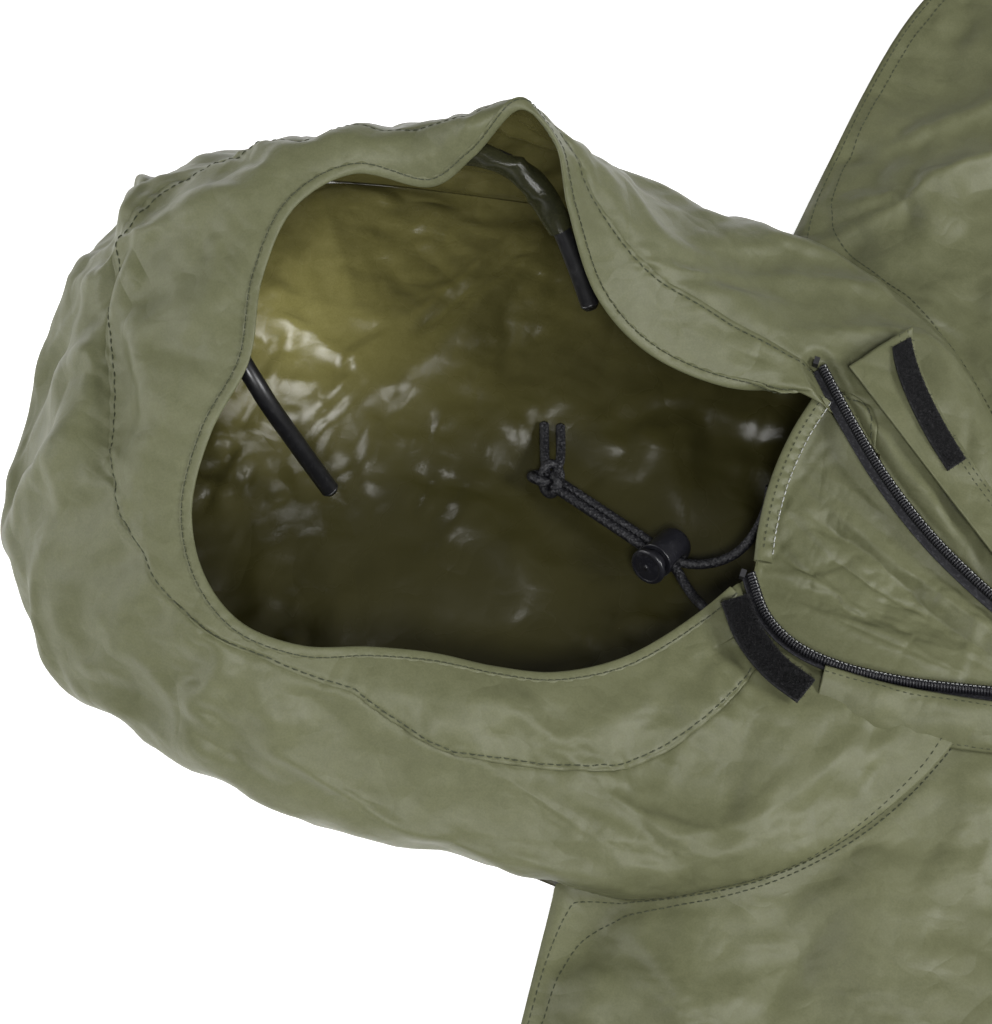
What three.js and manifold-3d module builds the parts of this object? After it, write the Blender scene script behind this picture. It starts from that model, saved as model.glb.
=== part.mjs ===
// A hooded bivy bag lying empty on its back. Millimetres: +X runs to the foot, +Y to the far side, +Z up.
// The origin is on the ground under the middle of the bag. The shoulder line crosses it at x = NECK_X.
import * as THREE from "three";
import { mergeVertices } from "three/addons/utils/BufferGeometryUtils.js";
import Module from "manifold-3d";

const wasm = await Module();
wasm.setup();

// Driving dimensions
const LENGTH = 2290; // hood to foot
const HOOD_LENGTH = 325; // head end to the shoulder line
const SHOULDER_HALF = 428; // half the width across the shoulders
const FOOT_HALF = 330; // half the width at the foot
const NECK_HALF = 178; // half the width of the hood where it meets the shoulders
const NECK_DROP = 165; // how far the neck seam dips towards the foot
const FABRIC = 1.6; // thickness that stands for the coated fabric and its seams
const GAP = 0.4; // clearance between pieces that touch
const FOOT_TUCK = 2.5; // the foot panel stands just outside the front and base panels
const BASE_TOP = 2; // upper face of the base panel
const EDGE_RISE = BASE_TOP + GAP; // where the upper panels meet the base panel
const SIDE_LOFT = 8; // how far the empty front lies above the base
const MIDDLE_LOFT = 28; // extra height of the front along the zip
const CORD = 5; // drawcord diameter
const HEM = 7.6; // hem channel round the face opening
const ROD = 9; // stay rod diameter
const COIL = 4.6; // one half of the zip's coil
const ZIP_Y = -8; // line of the closed zip
const ZIP_Z = 42; // height of the closed coil's middle
const SLIDER_X = 243; // slider, measured from the shoulder line
const ZIP_END_X = 700; // bottom of the zip, measured from the shoulder line
const FLAP_WIDTH = 40; // storm flap at its head end, fold to free edge
const FLAP_FOOT_WIDTH = 20; // and where it runs out beside the slider
const FLAP_TAPER = 5.2; // how quickly it narrows

const NECK_X = -LENGTH / 2 + HOOD_LENGTH;
const FOOT_X = LENGTH / 2 - NECK_X - FOOT_TUCK - FABRIC; // end of the front panel, from the shoulder line
const UP = new THREE.Vector3(0, 0, 1);
const v3 = (x, y, z) => new THREE.Vector3(x, y, z);

// Colours and finishes
const finish = (color, roughness, metalness = 0) => ({ color, roughness, metalness });
const OLIVE = finish(0x6b7052, 0.55);
const LINING = finish(0x5d5a30, 0.35);
const BLACK_CORD = finish(0x17181b, 0.8);
const BLACK_PLASTIC = finish(0x101113, 0.4);
const ZIP_BLACK = finish(0x14151a, 0.6);
const STEEL = finish(0x9a9da0, 0.35, 0.9);
const CLEAR_TAPE = finish(0x9b9a7a, 0.2);

// Everything is built from the shoulder line and the whole group is moved to its place at the end.
const bivy = new THREE.Group();
bivy.position.x = NECK_X;

function add(name, geometry, look, parent = bivy) {
  const mesh = new THREE.Mesh(geometry, new THREE.MeshStandardMaterial(look));
  mesh.name = name;
  parent.add(mesh);
  return mesh;
}

// ---- shaping helpers ----

// A box whose corners (0..1 in u, v and w) are carried to place(u, v, w): a closed sheet or strip.
function mappedBox(stepsU, stepsV, stepsW, place) {
  const box = new THREE.BoxGeometry(1, 1, 1, stepsU, stepsV, stepsW);
  const at = box.attributes.position;
  for (let i = 0; i < at.count; i++) {
    const p = place(at.getX(i) + 0.5, at.getY(i) + 0.5, at.getZ(i) + 0.5);
    at.setXYZ(i, p.x, p.y, p.z);
  }
  return box;
}

// A sheet over surface(u, v), thickened on the side that du x dv points to, from lift upwards.
function sheet(stepsU, stepsV, surface, thickness = FABRIC, lift = 0) {
  const small = 1e-3;
  return mappedBox(stepsU, stepsV, 1, (u, v, w) => {
    const p = surface(u, v);
    const du = surface(Math.min(u + small, 1), v).sub(surface(Math.max(u - small, 0), v));
    const dv = surface(u, Math.min(v + small, 1)).sub(surface(u, Math.max(v - small, 0)));
    return p.addScaledVector(du.cross(dv).normalize(), lift + w * thickness);
  });
}

// A flat strip beside a curve: from..to across it (left of travel is positive), bottom..top above it.
function strip(curve, steps, from, to, bottom, top) {
  return mappedBox(steps, 1, 1, (u, v, w) => {
    const across = UP.clone().cross(curve.getTangent(u)).normalize();
    const p = curve.getPoint(u).addScaledVector(across, from + (to - from) * v);
    return p.addScaledVector(UP, bottom + (top - bottom) * w);
  });
}

function ring(radius, sides) {
  const shape = new THREE.Shape();
  for (let i = 0; i < sides; i++) {
    const angle = (2 * Math.PI * i) / sides;
    shape[i ? "lineTo" : "moveTo"](radius * Math.cos(angle), radius * Math.sin(angle));
  }
  return shape.closePath();
}

function tube(curve, diameter, steps, sides = 8, bore = 0) {
  const section = ring(diameter / 2, sides);
  if (bore) section.holes.push(ring(bore / 2, sides));
  return new THREE.ExtrudeGeometry(section, { steps, extrudePath: curve, bevelEnabled: false });
}

function prism(points, low, high) {
  const shape = new THREE.Shape(points.map(([x, y]) => new THREE.Vector2(x, y)));
  const solid = new THREE.ExtrudeGeometry(shape, { depth: high - low, bevelEnabled: false });
  return solid.translate(0, 0, low);
}

function boxAt(x, y, z, sizeX, sizeY, sizeZ) {
  return new THREE.BoxGeometry(sizeX, sizeY, sizeZ).translate(x, y, z);
}

function manifoldOf(geometry) {
  const bare = geometry.clone();
  bare.deleteAttribute("normal");
  bare.deleteAttribute("uv");
  const merged = mergeVertices(bare, 1e-3);
  const vertProperties = merged.attributes.position.array;
  const triVerts = new Uint32Array(merged.index.array);
  return new wasm.Manifold(new wasm.Mesh({ numProp: 3, vertProperties, triVerts }));
}

function geometryOf(solid) {
  const { vertProperties, triVerts } = solid.getMesh();
  const made = new THREE.BufferGeometry();
  made.setAttribute("position", new THREE.BufferAttribute(vertProperties, 3));
  return made.setIndex(new THREE.BufferAttribute(triVerts, 1));
}

function cut(geometry, ...cutters) {
  const start = manifoldOf(geometry);
  return geometryOf(cutters.reduce((left, cutter) => left.subtract(manifoldOf(cutter)), start));
}

// Cuts, and drops the offcuts: only the largest piece is left.
function trim(geometry, ...cutters) {
  const bodies = manifoldOf(cut(geometry, ...cutters)).decompose();
  return geometryOf(bodies.reduce((most, body) => (body.volume() > most.volume() ? body : most)));
}

function join(...pieces) {
  return geometryOf(pieces.map(manifoldOf).reduce((all, piece) => all.add(piece)));
}

const catmull = (points) => new THREE.CatmullRomCurve3(points.map((p) => v3(...p)));

// ---- the front of the bag ----

const mix = THREE.MathUtils.lerp;
const neckSeamX = (y) => NECK_DROP * Math.sqrt(Math.max(0, 1 - (y / NECK_HALF) ** 2));

function shoulderX(y) {
  const out = Math.max(0, Math.abs(y) - NECK_HALF);
  return 0.1 * out + 60 * (out / (SHOULDER_HALF - NECK_HALF)) ** 6;
}

function footX(y) {
  return FOOT_X - 50 * (Math.abs(y) / FOOT_HALF) ** 4;
}

function halfWidth(x) {
  return mix(SHOULDER_HALF, FOOT_HALF, THREE.MathUtils.clamp(x / FOOT_X, 0, 1));
}

// Underside of the front panel above the ground.
function frontHeight(x, y) {
  const side = 1 - Math.min(1, Math.abs(y) / halfWidth(x)) ** 6;
  const fall = THREE.MathUtils.smoothstep(x - shoulderX(y), 0, 70);
  const inNeck = 1 - THREE.MathUtils.smoothstep(Math.abs(y), 140, 200);
  const loft = SIDE_LOFT * side + MIDDLE_LOFT * Math.exp(-((y / 190) ** 2));
  return EDGE_RISE + loft * Math.max(fall, inNeck);
}

function frontSurface(s, t) {
  const along = s ** 1.4; // closer steps near the shoulders
  const y = mix(-1, 1, t) * mix(SHOULDER_HALF, FOOT_HALF, along);
  const x = mix(shoulderX(y), footX(y), along);
  return v3(x, y, frontHeight(x, y));
}

// ---- the zip's two halves: together below the slider, apart above it ----

const coilNear = catmull([
  [39, -14, 48],
  [52, -31, 48],
  [68, -40, 47.5],
  [89, -43, 47],
  [120, -40, 46],
  [165, -29, 44],
  [205, -18, 42.5],
  [SLIDER_X - 9, ZIP_Y - 2.8, ZIP_Z],
]);
const coilFar = catmull([
  [39, 98, 55],
  [62, 75, 53],
  [83, 56, 51],
  [108, 38, 48],
  [131, 25, 46],
  [165, 10, 44],
  [205, -1, 42.5],
  [SLIDER_X - 9, ZIP_Y + 2.8, ZIP_Z],
]);

// Plan of the V between the halves and the slot below it. Each side keeps FABRIC_BACK off its coil.
const FABRIC_BACK = COIL / 2 + 1;
function zipGap() {
  const side = (curve, sign) =>
    [...Array(15).keys()].map((i) => {
      const t = i / 14;
      const across = UP.clone().cross(curve.getTangent(t)).setZ(0).normalize();
      const p = curve.getPoint(t).addScaledVector(across, sign * FABRIC_BACK);
      return [p.x, p.y];
    });
  const slot = COIL + FABRIC_BACK;
  const far = side(coilFar, 1);
  const near = side(coilNear, -1);
  return [
    [near[0][0] - 2, near[0][1] + 22],
    ...near.slice(0, 14),
    [SLIDER_X, ZIP_Y - slot],
    [ZIP_END_X, ZIP_Y - slot],
    [ZIP_END_X, ZIP_Y + slot],
    [SLIDER_X, ZIP_Y + slot],
    ...far.slice(0, 14).reverse(),
    [far[0][0] - 3, far[0][1] - 22],
  ];
}
const zipCutter = prism(zipGap(), -20, 160);

function neckCutter() {
  const arc = [...Array(21).keys()].map((i) => {
    const angle = (Math.PI * i) / 20;
    return [(NECK_DROP + 1) * Math.sin(angle), -(NECK_HALF + 5) * Math.cos(angle)];
  });
  return prism([[-60, -NECK_HALF - 5], ...arc, [-60, NECK_HALF + 5]], -20, 160);
}

add("front_panel", cut(sheet(22, 20, frontSurface), neckCutter(), zipCutter), OLIVE);

// ---- the hood: ribs from the face opening down to the ground or the neck seam ----

const GROUND = BASE_TOP + GAP;
// The hood stops just inside the neck seam, where the front panel begins.
const neckEnd = (y) => {
  const x = neckSeamX(y) - 3 - 5 * Math.abs(y / NECK_HALF) ** 3;
  return [x, y, frontHeight(x, y)];
};
// Each rib: point on the rim, point on the seam below it, how far the fabric leaves the rim level,
// how much it rises on the way, and how far it bellies out above the seam.
const rib = (rim, seam, flow, rise, belly) => ({ rim, seam, flow, rise, belly });
const ribs = [
  rib([37, -16, 48], neckEnd(-22), 72, 2, 0),
  rib([22, -43, 49], neckEnd(-76), 72, 2, 0),
  rib([-3, -76, 52], neckEnd(-128), 72, 2, 2),
  rib([-30, -96, 58], neckEnd(-158), 64, 2, 6),
  rib([-56, -105, 65], neckEnd(-173), 54, 2, 12),
  rib([-86, -112, 75], [-42, -174, GROUND], 48, 2, 24),
  rib([-112, -121, 82], [-112, -178, GROUND], 42, 2, 32),
  rib([-139, -133, 90], [-190, -173, GROUND], 46, 0, 36),
  rib([-168, -133, 94], [-252, -156, GROUND], 58, 0, 38),
  rib([-192, -118, 98], [-292, -113, GROUND], 64, 0, 38),
  rib([-208, -92, 104], [-309, -64, GROUND], 66, 0, 34),
  rib([-212, -58, 113], [-315, -16, GROUND], 70, 0, 31),
  rib([-207, -23, 123], [-314, 30, GROUND], 80, 2, 34),
  rib([-215, 15, 131], [-311, 71, GROUND], 72, 4, 30),
  rib([-213, 52, 137], [-292, 104, GROUND], 42, 6, 12),
  rib([-193, 78, 138], [-258, 128, GROUND], 24, 18, 2),
  rib([-158, 88, 131], [-216, 144, GROUND], 22, 44, -4),
  rib([-143, 102, 145], [-178, 154, GROUND], 14, 44, -6),
  rib([-127, 123, 163], [-140, 162, GROUND], 5, 5, -4),
  rib([-108, 117, 154], [-98, 169, GROUND], 4, -12, 0),
  rib([-94, 99, 130], [-58, 173, GROUND], 14, -8, 4),
  rib([-70, 76, 97], [-18, 174, GROUND], 30, 0, 10),
  rib([-40, 67, 75], neckEnd(172), 50, 4, 8),
  rib([0, 69, 62], neckEnd(146), 62, 4, 4),
  rib([25, 80, 57], neckEnd(96), 70, 2, 0),
  rib([41, 94, 55], neckEnd(-28), 80, 2, 0),
];
const rimCurve = catmull(ribs.map(({ rim }) => rim));
const seamCurve = catmull(ribs.map(({ seam }) => seam));
const fullness = catmull(ribs.map(({ flow, rise, belly }) => [flow, rise, belly]));

// One rib as a cubic Bezier: out of the rim almost level, then over and down to the seam.
function hoodSurface(u, v) {
  const rim = rimCurve.getPoint(u);
  const seam = seamCurve.getPoint(u);
  const { x: flow, y: rise, z: belly } = fullness.getPoint(u);
  const drop = rim.z - seam.z;
  const out = seam.clone().sub(rim).setZ(0);
  out.normalize();
  const leave = rim.clone().addScaledVector(out, flow).addScaledVector(UP, rise);
  const land = seam.clone().addScaledVector(out, 1.1 * belly).addScaledVector(UP, 0.62 * drop);
  return new THREE.CubicBezierCurve3(rim, leave, land, seam).getPoint(v);
}

// Share of each rib that the facing takes: wide over the crown, narrow at the far side of the throat.
const facingShare = (u) => {
  const throat = THREE.MathUtils.smoothstep(0.16 - u, 0, 0.16);
  const farSide = THREE.MathUtils.smoothstep(u, 0.56, 0.84);
  return 0.4 - 0.1 * throat - 0.18 * farSide;
};
const SEAM_GAP = 0.025; // share of a rib left between facing and shell
// The facing starts clear of the hem, whatever the length and slant of the rib.
function facingStart(u) {
  const rim = hoodSurface(u, 0);
  const along = hoodSurface(u, 0.05).sub(rim);
  const square = along.clone().cross(rimCurve.getTangent(u)).length();
  return (0.05 * (HEM / 2 + 2.4)) / square;
}

const facingTo = (end) => (u, v) => hoodSurface(u, mix(facingStart(u), facingShare(u) - end, v));
const facing = sheet(50, 2, facingTo(SEAM_GAP));
const facingRoom = sheet(50, 2, facingTo(SEAM_GAP / 2), FABRIC + 2 * GAP, -GAP);
const shell = sheet(50, 6, (u, v) => hoodSurface(u, mix(facingShare(u), 1, v)));
add("face_facing", trim(facing, zipCutter), OLIVE);
add("hood_shell", trim(shell, zipCutter, facingRoom), OLIVE);

// ---- base, foot and side bindings ----

function baseOutline() {
  const steps = 12;
  const count = [...Array(steps + 1).keys()].map((i) => i / steps);
  const side = (sign) => count.map((s) => {
    const width = mix(SHOULDER_HALF, FOOT_HALF, s);
    return [mix(shoulderX(width), footX(width), s), sign * width];
  });
  const shoulder = (sign) => [0.02, 0.35, 0.7, 0.88].map((t) => {
    const y = mix(NECK_HALF, SHOULDER_HALF, t);
    return [shoulderX(y), sign * y];
  });
  const foot = [0.6, 0, -0.6].map((t) => [footX(t * FOOT_HALF), t * FOOT_HALF]);
  const hood = ribs.slice(5, 22).map(({ seam }) => [seam[0], seam[1]]);
  return [
    ...hood.reverse(),
    ...shoulder(-1),
    ...side(-1),
    ...foot.reverse(),
    ...side(1).reverse(),
    ...shoulder(1).reverse(),
  ];
}
add("base_panel", prism(baseOutline(), 0, BASE_TOP), OLIVE);

add(
  "foot_panel",
  sheet(16, 2, (u, v) => {
    const y = mix(-0.97, 0.97, u) * FOOT_HALF;
    const x = footX(y) + FOOT_TUCK;
    return v3(x, y, mix(0.8, frontHeight(x, y) + FABRIC, v));
  }),
  OLIVE,
);

for (const [name, sign] of [["near", -1], ["far", 1]]) {
  const edge = new THREE.CatmullRomCurve3(
    [0.06, 0.3, 0.6, 0.94].map((s) => {
      const y = sign * mix(SHOULDER_HALF, FOOT_HALF, s);
      return v3(mix(shoulderX(y), footX(y), s), y, 0.8);
    }),
  );
  const outside = [GAP + 0.4, GAP + 3.2].map((d) => sign * d);
  add(`side_binding_${name}`, strip(edge, 12, Math.min(...outside), Math.max(...outside), 0, 3.4), OLIVE);
}

// ---- neck seams: a felled strip on top and a sealing tape underneath ----

for (const [name, from, to] of [["near", -158, -36], ["far", 22, 158]]) {
  const line = new THREE.CatmullRomCurve3(
    [0, 0.15, 0.35, 0.6, 0.8, 1].map((t) => {
      const y = mix(from, to, t);
      const x = neckSeamX(y) + 1;
      return v3(x, y, frontHeight(x, y));
    }),
  );
  add(`neck_seam_${name}`, strip(line, 10, -10, -2, FABRIC + 1.4, FABRIC + 2.4), OLIVE);
  add(`seam_tape_${name}`, strip(line, 10, -12, 8, -4.6, -4), CLEAR_TAPE);
}

// ---- hem round the face opening, with the drawcord running inside it ----

function rimPart(from, to, points) {
  const picked = [...Array(points + 1).keys()].map((i) => rimCurve.getPoint(mix(from, to, i / points)));
  return new THREE.CatmullRomCurve3(picked);
}
const rimHem = rimPart(0.012, 0.985, 56);
add("face_hem", tube(rimHem, HEM, 56, 6, HEM - 1.4), OLIVE);
add("drawcord_in_hem", tube(rimHem, CORD, 56, 6), BLACK_CORD);

const gussetTop = catmull([[42, 84, 53], [37, 62, 50], [35, 36, 48.5], [37, 10, 47], [40, -6, 46.5]]);
add("gusset_hem", tube(gussetTop, HEM, 10, 8), OLIVE);

// The gusset hangs from the two zip halves and from its hem.
function gussetSurface(u, v) {
  const near = coilNear.getPoint(mix(0.02, 0.86, u));
  const far = coilFar.getPoint(mix(0.02, 0.86, u));
  const start = gussetTop.getPoint(1 - v);
  const p = near.lerp(far, v);
  const sag = 8 + 10 * Math.sin(Math.PI * v) * Math.sin(Math.PI * Math.min(1, u + 0.25));
  p.z -= sag;
  const headEdge = 1 - THREE.MathUtils.smoothstep(u, 0, 0.2);
  p.x = mix(p.x, start.x + 6, headEdge);
  return p;
}
add("throat_gusset", sheet(14, 8, gussetSurface), OLIVE);

// ---- zip ----

const TAPE = 0.8; // thickness of the woven tape
const PULL = 1.2; // thickness of the slider's pull
const TAPE_DROP = -COIL / 2 - TAPE - GAP; // its underside below the coil's middle
const closedZip = new THREE.LineCurve3(v3(SLIDER_X + 11, ZIP_Y, ZIP_Z), v3(ZIP_END_X - 6, ZIP_Y, ZIP_Z));
for (const [name, curve, sign] of [["near", coilNear, -1], ["far", coilFar, 1]]) {
  add(`zip_coil_${name}`, tube(curve, COIL, 34), ZIP_BLACK);
  const [right, left] = sign < 0 ? [-2.6, 1.6] : [-1.6, 2.6];
  add(`zip_tape_${name}`, strip(curve, 24, right, left, TAPE_DROP, TAPE_DROP + TAPE), ZIP_BLACK);
  const stop = curve.getPoint(0).add(v3(-3.4, sign * 1.5, 0));
  add(`zip_top_stop_${name}`, boxAt(stop.x, stop.y, stop.z, 2.6, 4, 4), STEEL);
}
add("zip_coil_closed", strip(closedZip, 2, -COIL, COIL, -COIL / 2, COIL / 2), ZIP_BLACK);
add("zip_tape_closed", strip(closedZip, 2, -COIL - 2, COIL + 2, TAPE_DROP, TAPE_DROP + TAPE), ZIP_BLACK);
add("zip_bottom_stop", boxAt(ZIP_END_X - 3.5, ZIP_Y, ZIP_Z, 4, 9, 5), STEEL);

function zipSlider() {
  const slider = new THREE.Group();
  slider.position.set(SLIDER_X, ZIP_Y, ZIP_Z);
  const roofZ = COIL / 2 + GAP;
  const roofTop = roofZ + 1.6;
  const roof = prism([[-9, -7.6], [9, -6.4], [9, 6.4], [-9, 7.6]], roofZ, roofTop);
  const skirt = (sign) => boxAt(0, sign * 5.7, 0.6, 17, 1.4, COIL);
  const arch = new THREE.Shape();
  arch.absarc(0, 0, 4.8, 0, Math.PI, false);
  arch.absarc(0, 0, 3, Math.PI, 0, true);
  const bridge = new THREE.ExtrudeGeometry(arch, { depth: 2.4, bevelEnabled: false, curveSegments: 8 });
  bridge.translate(0, 0, -1.2).rotateX(Math.PI / 2).translate(0, 0, roofTop - 0.1);
  add("zip_slider", join(roof, skirt(-1), skirt(1), bridge), STEEL, slider);

  // The pull's first bar turns under the bridge, which stands in the pull's window.
  const outline = (points) => points.map(([x, y]) => new THREE.Vector2(x, y));
  const tab = new THREE.Shape(outline([[-0.8, -4], [27, -3], [28.5, 0], [27, 3], [-0.8, 4]]));
  tab.holes.push(new THREE.Path(outline([[0.8, -2], [6.2, -2], [6.2, 2], [0.8, 2]])));
  const pull = new THREE.ExtrudeGeometry(tab, { depth: PULL, bevelEnabled: false });
  add("zip_pull", pull.translate(0, 0, roofTop + 0.8), STEEL, slider);
  return slider;
}
bivy.add(zipSlider());

// ---- placket, storm flap and touch strips ----

const placketLine = catmull([
  [86, -52, 50.5],
  [115, -50, 49],
  [150, -44, 47.4],
  [185, -36, 46],
  [216, -28, 45],
  [240, -27, 44.6],
]);
add("zip_placket", strip(placketLine, 12, -16, 2, 0, 1.2), OLIVE);

const loopLine = catmull([[36, -31, 54.6], [48, -46, 54.4], [64, -57, 54], [81, -63, 53.4]]);
add("loop_strip", strip(loopLine, 8, -7, 7, 0, 2), ZIP_BLACK);

// The flap folds about a straight line beside the far zip half and lies open on the far side.
const flapRoot = { head: v3(51, 99, 62.5), foot: v3(170, 14, 51) };
const flapWidth = (u) => FLAP_FOOT_WIDTH + (FLAP_WIDTH - FLAP_FOOT_WIDTH) * Math.exp(-FLAP_TAPER * u);
function flapSurface(u, v) {
  const root = flapRoot.head.clone().lerp(flapRoot.foot, u);
  const along = flapRoot.foot.clone().sub(flapRoot.head).normalize();
  const across = UP.clone().cross(along).setZ(0).normalize();
  return root.addScaledVector(across, 1 + v * (flapWidth(u) - 1)).addScaledVector(UP, -0.9 - 2 * v);
}
add("storm_flap", sheet(10, 4, flapSurface), OLIVE);
// The hook strip follows the free edge down the flap's upper half.
function onFlap(u, v) {
  const along = mix(0.03, 0.47, u);
  const width = flapWidth(along);
  return flapSurface(along, (width - mix(14, 2.5, v)) / width);
}
add("hook_strip", sheet(6, 2, onFlap, 2, FABRIC + GAP), ZIP_BLACK);

// ---- stay rod that holds the crown up, in its sleeve behind the facing ----

const stayPath = catmull([
  [-165, -37, 28],
  [-184, -31, 62],
  [-204, -23, 95],
  [-222, -8, 106],
  [-234, 20, 112],
  [-233, 54, 119],
  [-212, 84, 125],
  [-180, 99, 126],
  [-152, 109, 132],
  [-126, 110, 131],
  [-103, 101, 116],
  [-86, 88, 97],
  [-73, 76, 80],
]);
const stayPart = (from, to) => new THREE.CatmullRomCurve3(
  [...Array(31).keys()].map((i) => stayPath.getPoint(mix(from, to, i / 30))),
);
add("stay_rod", tube(stayPart(0.02, 0.98), ROD, 32), BLACK_PLASTIC);
add("stay_sleeve", tube(stayPart(0.26, 0.86), ROD + 4, 20, 8, ROD + 1.8), LINING);

// A domed cap at each end of the rod.
function stayCap(name, at, direction) {
  const dome = [...Array(6).keys()].map((i) => {
    const angle = (Math.PI / 2) * (i / 5);
    return new THREE.Vector2(Math.cos(angle) * ROD * 0.55, 4 + Math.sin(angle) * ROD * 0.45);
  });
  dome[dome.length - 1].x = 0;
  const flat = [new THREE.Vector2(0, 0), new THREE.Vector2(ROD * 0.55, 0)];
  const cap = new THREE.LatheGeometry([...flat, ...dome], 12);
  const turn = new THREE.Quaternion().setFromUnitVectors(v3(0, 1, 0), direction.normalize());
  const mesh = add(name, cap, BLACK_PLASTIC);
  mesh.quaternion.copy(turn);
  mesh.position.copy(at).addScaledVector(direction, GAP);
}
stayCap("stay_cap_near", stayPath.getPoint(0.02), stayPath.getTangent(0.02).negate());
stayCap("stay_cap_far", stayPath.getPoint(0.98), stayPath.getTangent(0.98));

// ---- drawcord, knot and cord lock ----

const lockAt = v3(-5, -9, 22);
const knotAt = v3(-70, 12.5, 14);
const cordWay = knotAt.clone().sub(lockAt).normalize(); // from the lock to the knot
const lockAxis = v3(-0.31, -0.82, 0.46);
lockAxis.addScaledVector(cordWay, -lockAxis.dot(cordWay)).normalize(); // out through the button
const lockSide = lockAxis.clone().cross(cordWay);
const CORD_PITCH = CORD + GAP + 0.2; // the two strands lie one over the other through the lock
const beside = (along, over) =>
  lockAt.clone().addScaledVector(cordWay, along).addScaledVector(lockAxis, over);

const farLead = [[34, 35, 41], [35.5, 27, 36], [34, 14, 30], [29, 3, 26], [21, -4, 23], [12, -8, 21.5]];
const nearLead = [[20, -33, 42], [20, -31, 35], [16, -26, 27], [9.5, -20, 24.5]];
// A strand from the hem to the lock, then straight through it to the knot.
function strandThrough(lead, over) {
  const straight = [-9, 0, 20, 40, 58].map((along) => beside(along, over));
  return new THREE.CatmullRomCurve3([...lead.map((p) => v3(...p)), ...straight]);
}
add("drawcord_far", tube(strandThrough(farLead, -CORD_PITCH / 2), CORD, 24), BLACK_CORD);
add("drawcord_near", tube(strandThrough(nearLead, CORD_PITCH / 2), CORD, 20), BLACK_CORD);

const knot = new THREE.SphereGeometry(8.6, 12, 8).scale(1.1, 1, 0.85).translate(...beside(69, 0).toArray());
add("drawcord_knot", knot, BLACK_CORD);
const tails = [
  ["one", [[-77, 23, 11], [-80, 31, 9], [-84, 41, 7.5]]],
  ["two", [[-69.5, 24.5, 11], [-72, 33, 8.5], [-76, 43, 7]]],
];
for (const [name, points] of tails) add(`drawcord_end_${name}`, tube(catmull(points), CORD, 6), BLACK_CORD);

const BARREL_R = 9;
const BARREL_TOP = 7;
const FLOOR = -11; // floor of the barrel's cavity
const PLUNGER_R = 6.2;
const PLUNGER_END = -7;
const PRESS = 4; // space for the button's travel
function cordLock() {
  const lock = new THREE.Group();
  lock.position.copy(lockAt);
  lock.quaternion.setFromRotationMatrix(new THREE.Matrix4().makeBasis(cordWay, lockSide, lockAxis));
  const turned = (profile) => {
    const outline = profile.map(([radius, z]) => new THREE.Vector2(radius, z));
    return new THREE.LatheGeometry(outline, 20).rotateX(Math.PI / 2);
  };
  const wall = PLUNGER_R + 0.3;
  const barrel = turned([
    [0, -13],
    [BARREL_R - 1.5, -13],
    [BARREL_R, -11.5],
    [BARREL_R, BARREL_TOP],
    [wall, BARREL_TOP],
    [wall, FLOOR],
    [0, FLOOR],
  ]);
  const cordRoom = 2 * CORD_PITCH + 0.4;
  const passage = boxAt(0, 0, 0, 40, CORD + 0.9, cordRoom);
  add("cord_lock_barrel", cut(barrel, passage), BLACK_PLASTIC, lock);

  const capZ = BARREL_TOP + GAP + PRESS;
  const button = turned([
    [0, PLUNGER_END],
    [PLUNGER_R, PLUNGER_END],
    [PLUNGER_R, capZ],
    [9.2, capZ],
    [9.2, capZ + 1.8],
    [6.5, capZ + 3.4],
    [0, capZ + 3.8],
  ]);
  const slot = boxAt(0, 0, PRESS / 2, 40, CORD + 0.9, cordRoom + PRESS);
  add("cord_lock_button", cut(button, slot), BLACK_PLASTIC, lock);

  const springFoot = FLOOR + GAP;
  const springHead = PLUNGER_END - GAP;
  const spring = turned([
    [2, springFoot],
    [4.4, springFoot],
    [4.4, springHead],
    [2, springHead],
    [2, springFoot],
  ]);
  add("cord_lock_spring", spring, STEEL, lock);
  return lock;
}
bivy.add(cordLock());

export default bivy;
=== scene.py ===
"""The looks of the bivy sack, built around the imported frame, in metres and in the frame's own axes."""

import math

import bpy
import numpy as np
from mathutils import Matrix, Vector


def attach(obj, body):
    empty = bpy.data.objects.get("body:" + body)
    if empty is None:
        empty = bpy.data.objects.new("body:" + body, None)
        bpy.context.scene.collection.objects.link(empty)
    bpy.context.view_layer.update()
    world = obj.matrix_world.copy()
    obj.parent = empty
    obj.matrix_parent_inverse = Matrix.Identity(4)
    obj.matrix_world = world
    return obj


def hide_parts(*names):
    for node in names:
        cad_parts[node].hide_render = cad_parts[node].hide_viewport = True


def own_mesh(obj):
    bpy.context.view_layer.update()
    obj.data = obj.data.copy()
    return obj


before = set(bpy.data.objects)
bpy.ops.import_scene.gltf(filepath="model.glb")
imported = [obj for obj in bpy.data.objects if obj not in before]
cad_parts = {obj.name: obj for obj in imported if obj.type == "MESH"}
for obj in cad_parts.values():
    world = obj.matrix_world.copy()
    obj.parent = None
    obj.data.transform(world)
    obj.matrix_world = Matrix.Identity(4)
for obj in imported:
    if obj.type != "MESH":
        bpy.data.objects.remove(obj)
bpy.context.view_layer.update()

scene = bpy.context.scene

# Shapes are worked out in millimetres from the shoulder line, as in the CAD, and moved at the end.
NECK_X = -820.0
BASE_TOP = 2.0
GROUND = 2.4
NECK_HALF = 178.0
NECK_DROP = 165.0
SHOULDER_HALF = 428.0
FOOT_HALF = 330.0
FOOT_X = 1960.9
CORD = 5.0
ROD = 9.0
COIL = 4.6
ZIP_Y = -8.0
ZIP_Z = 42.0
SLIDER_X = 243.0
ZIP_END_X = 700.0
CLOTH = 0.7  # thickness of a fabric panel
FACE_HEM = (6.0, 3.0)  # width and thickness of each folded edge
SIDE_BINDING = (10.0, 3.4)
GUSSET_HEM = (9.0, 4.6)
SLEEVE_RADIUS = 6.4
UP = np.array([0.0, 0.0, 1.0])


# ---- vectors, curves and noise ----


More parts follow.
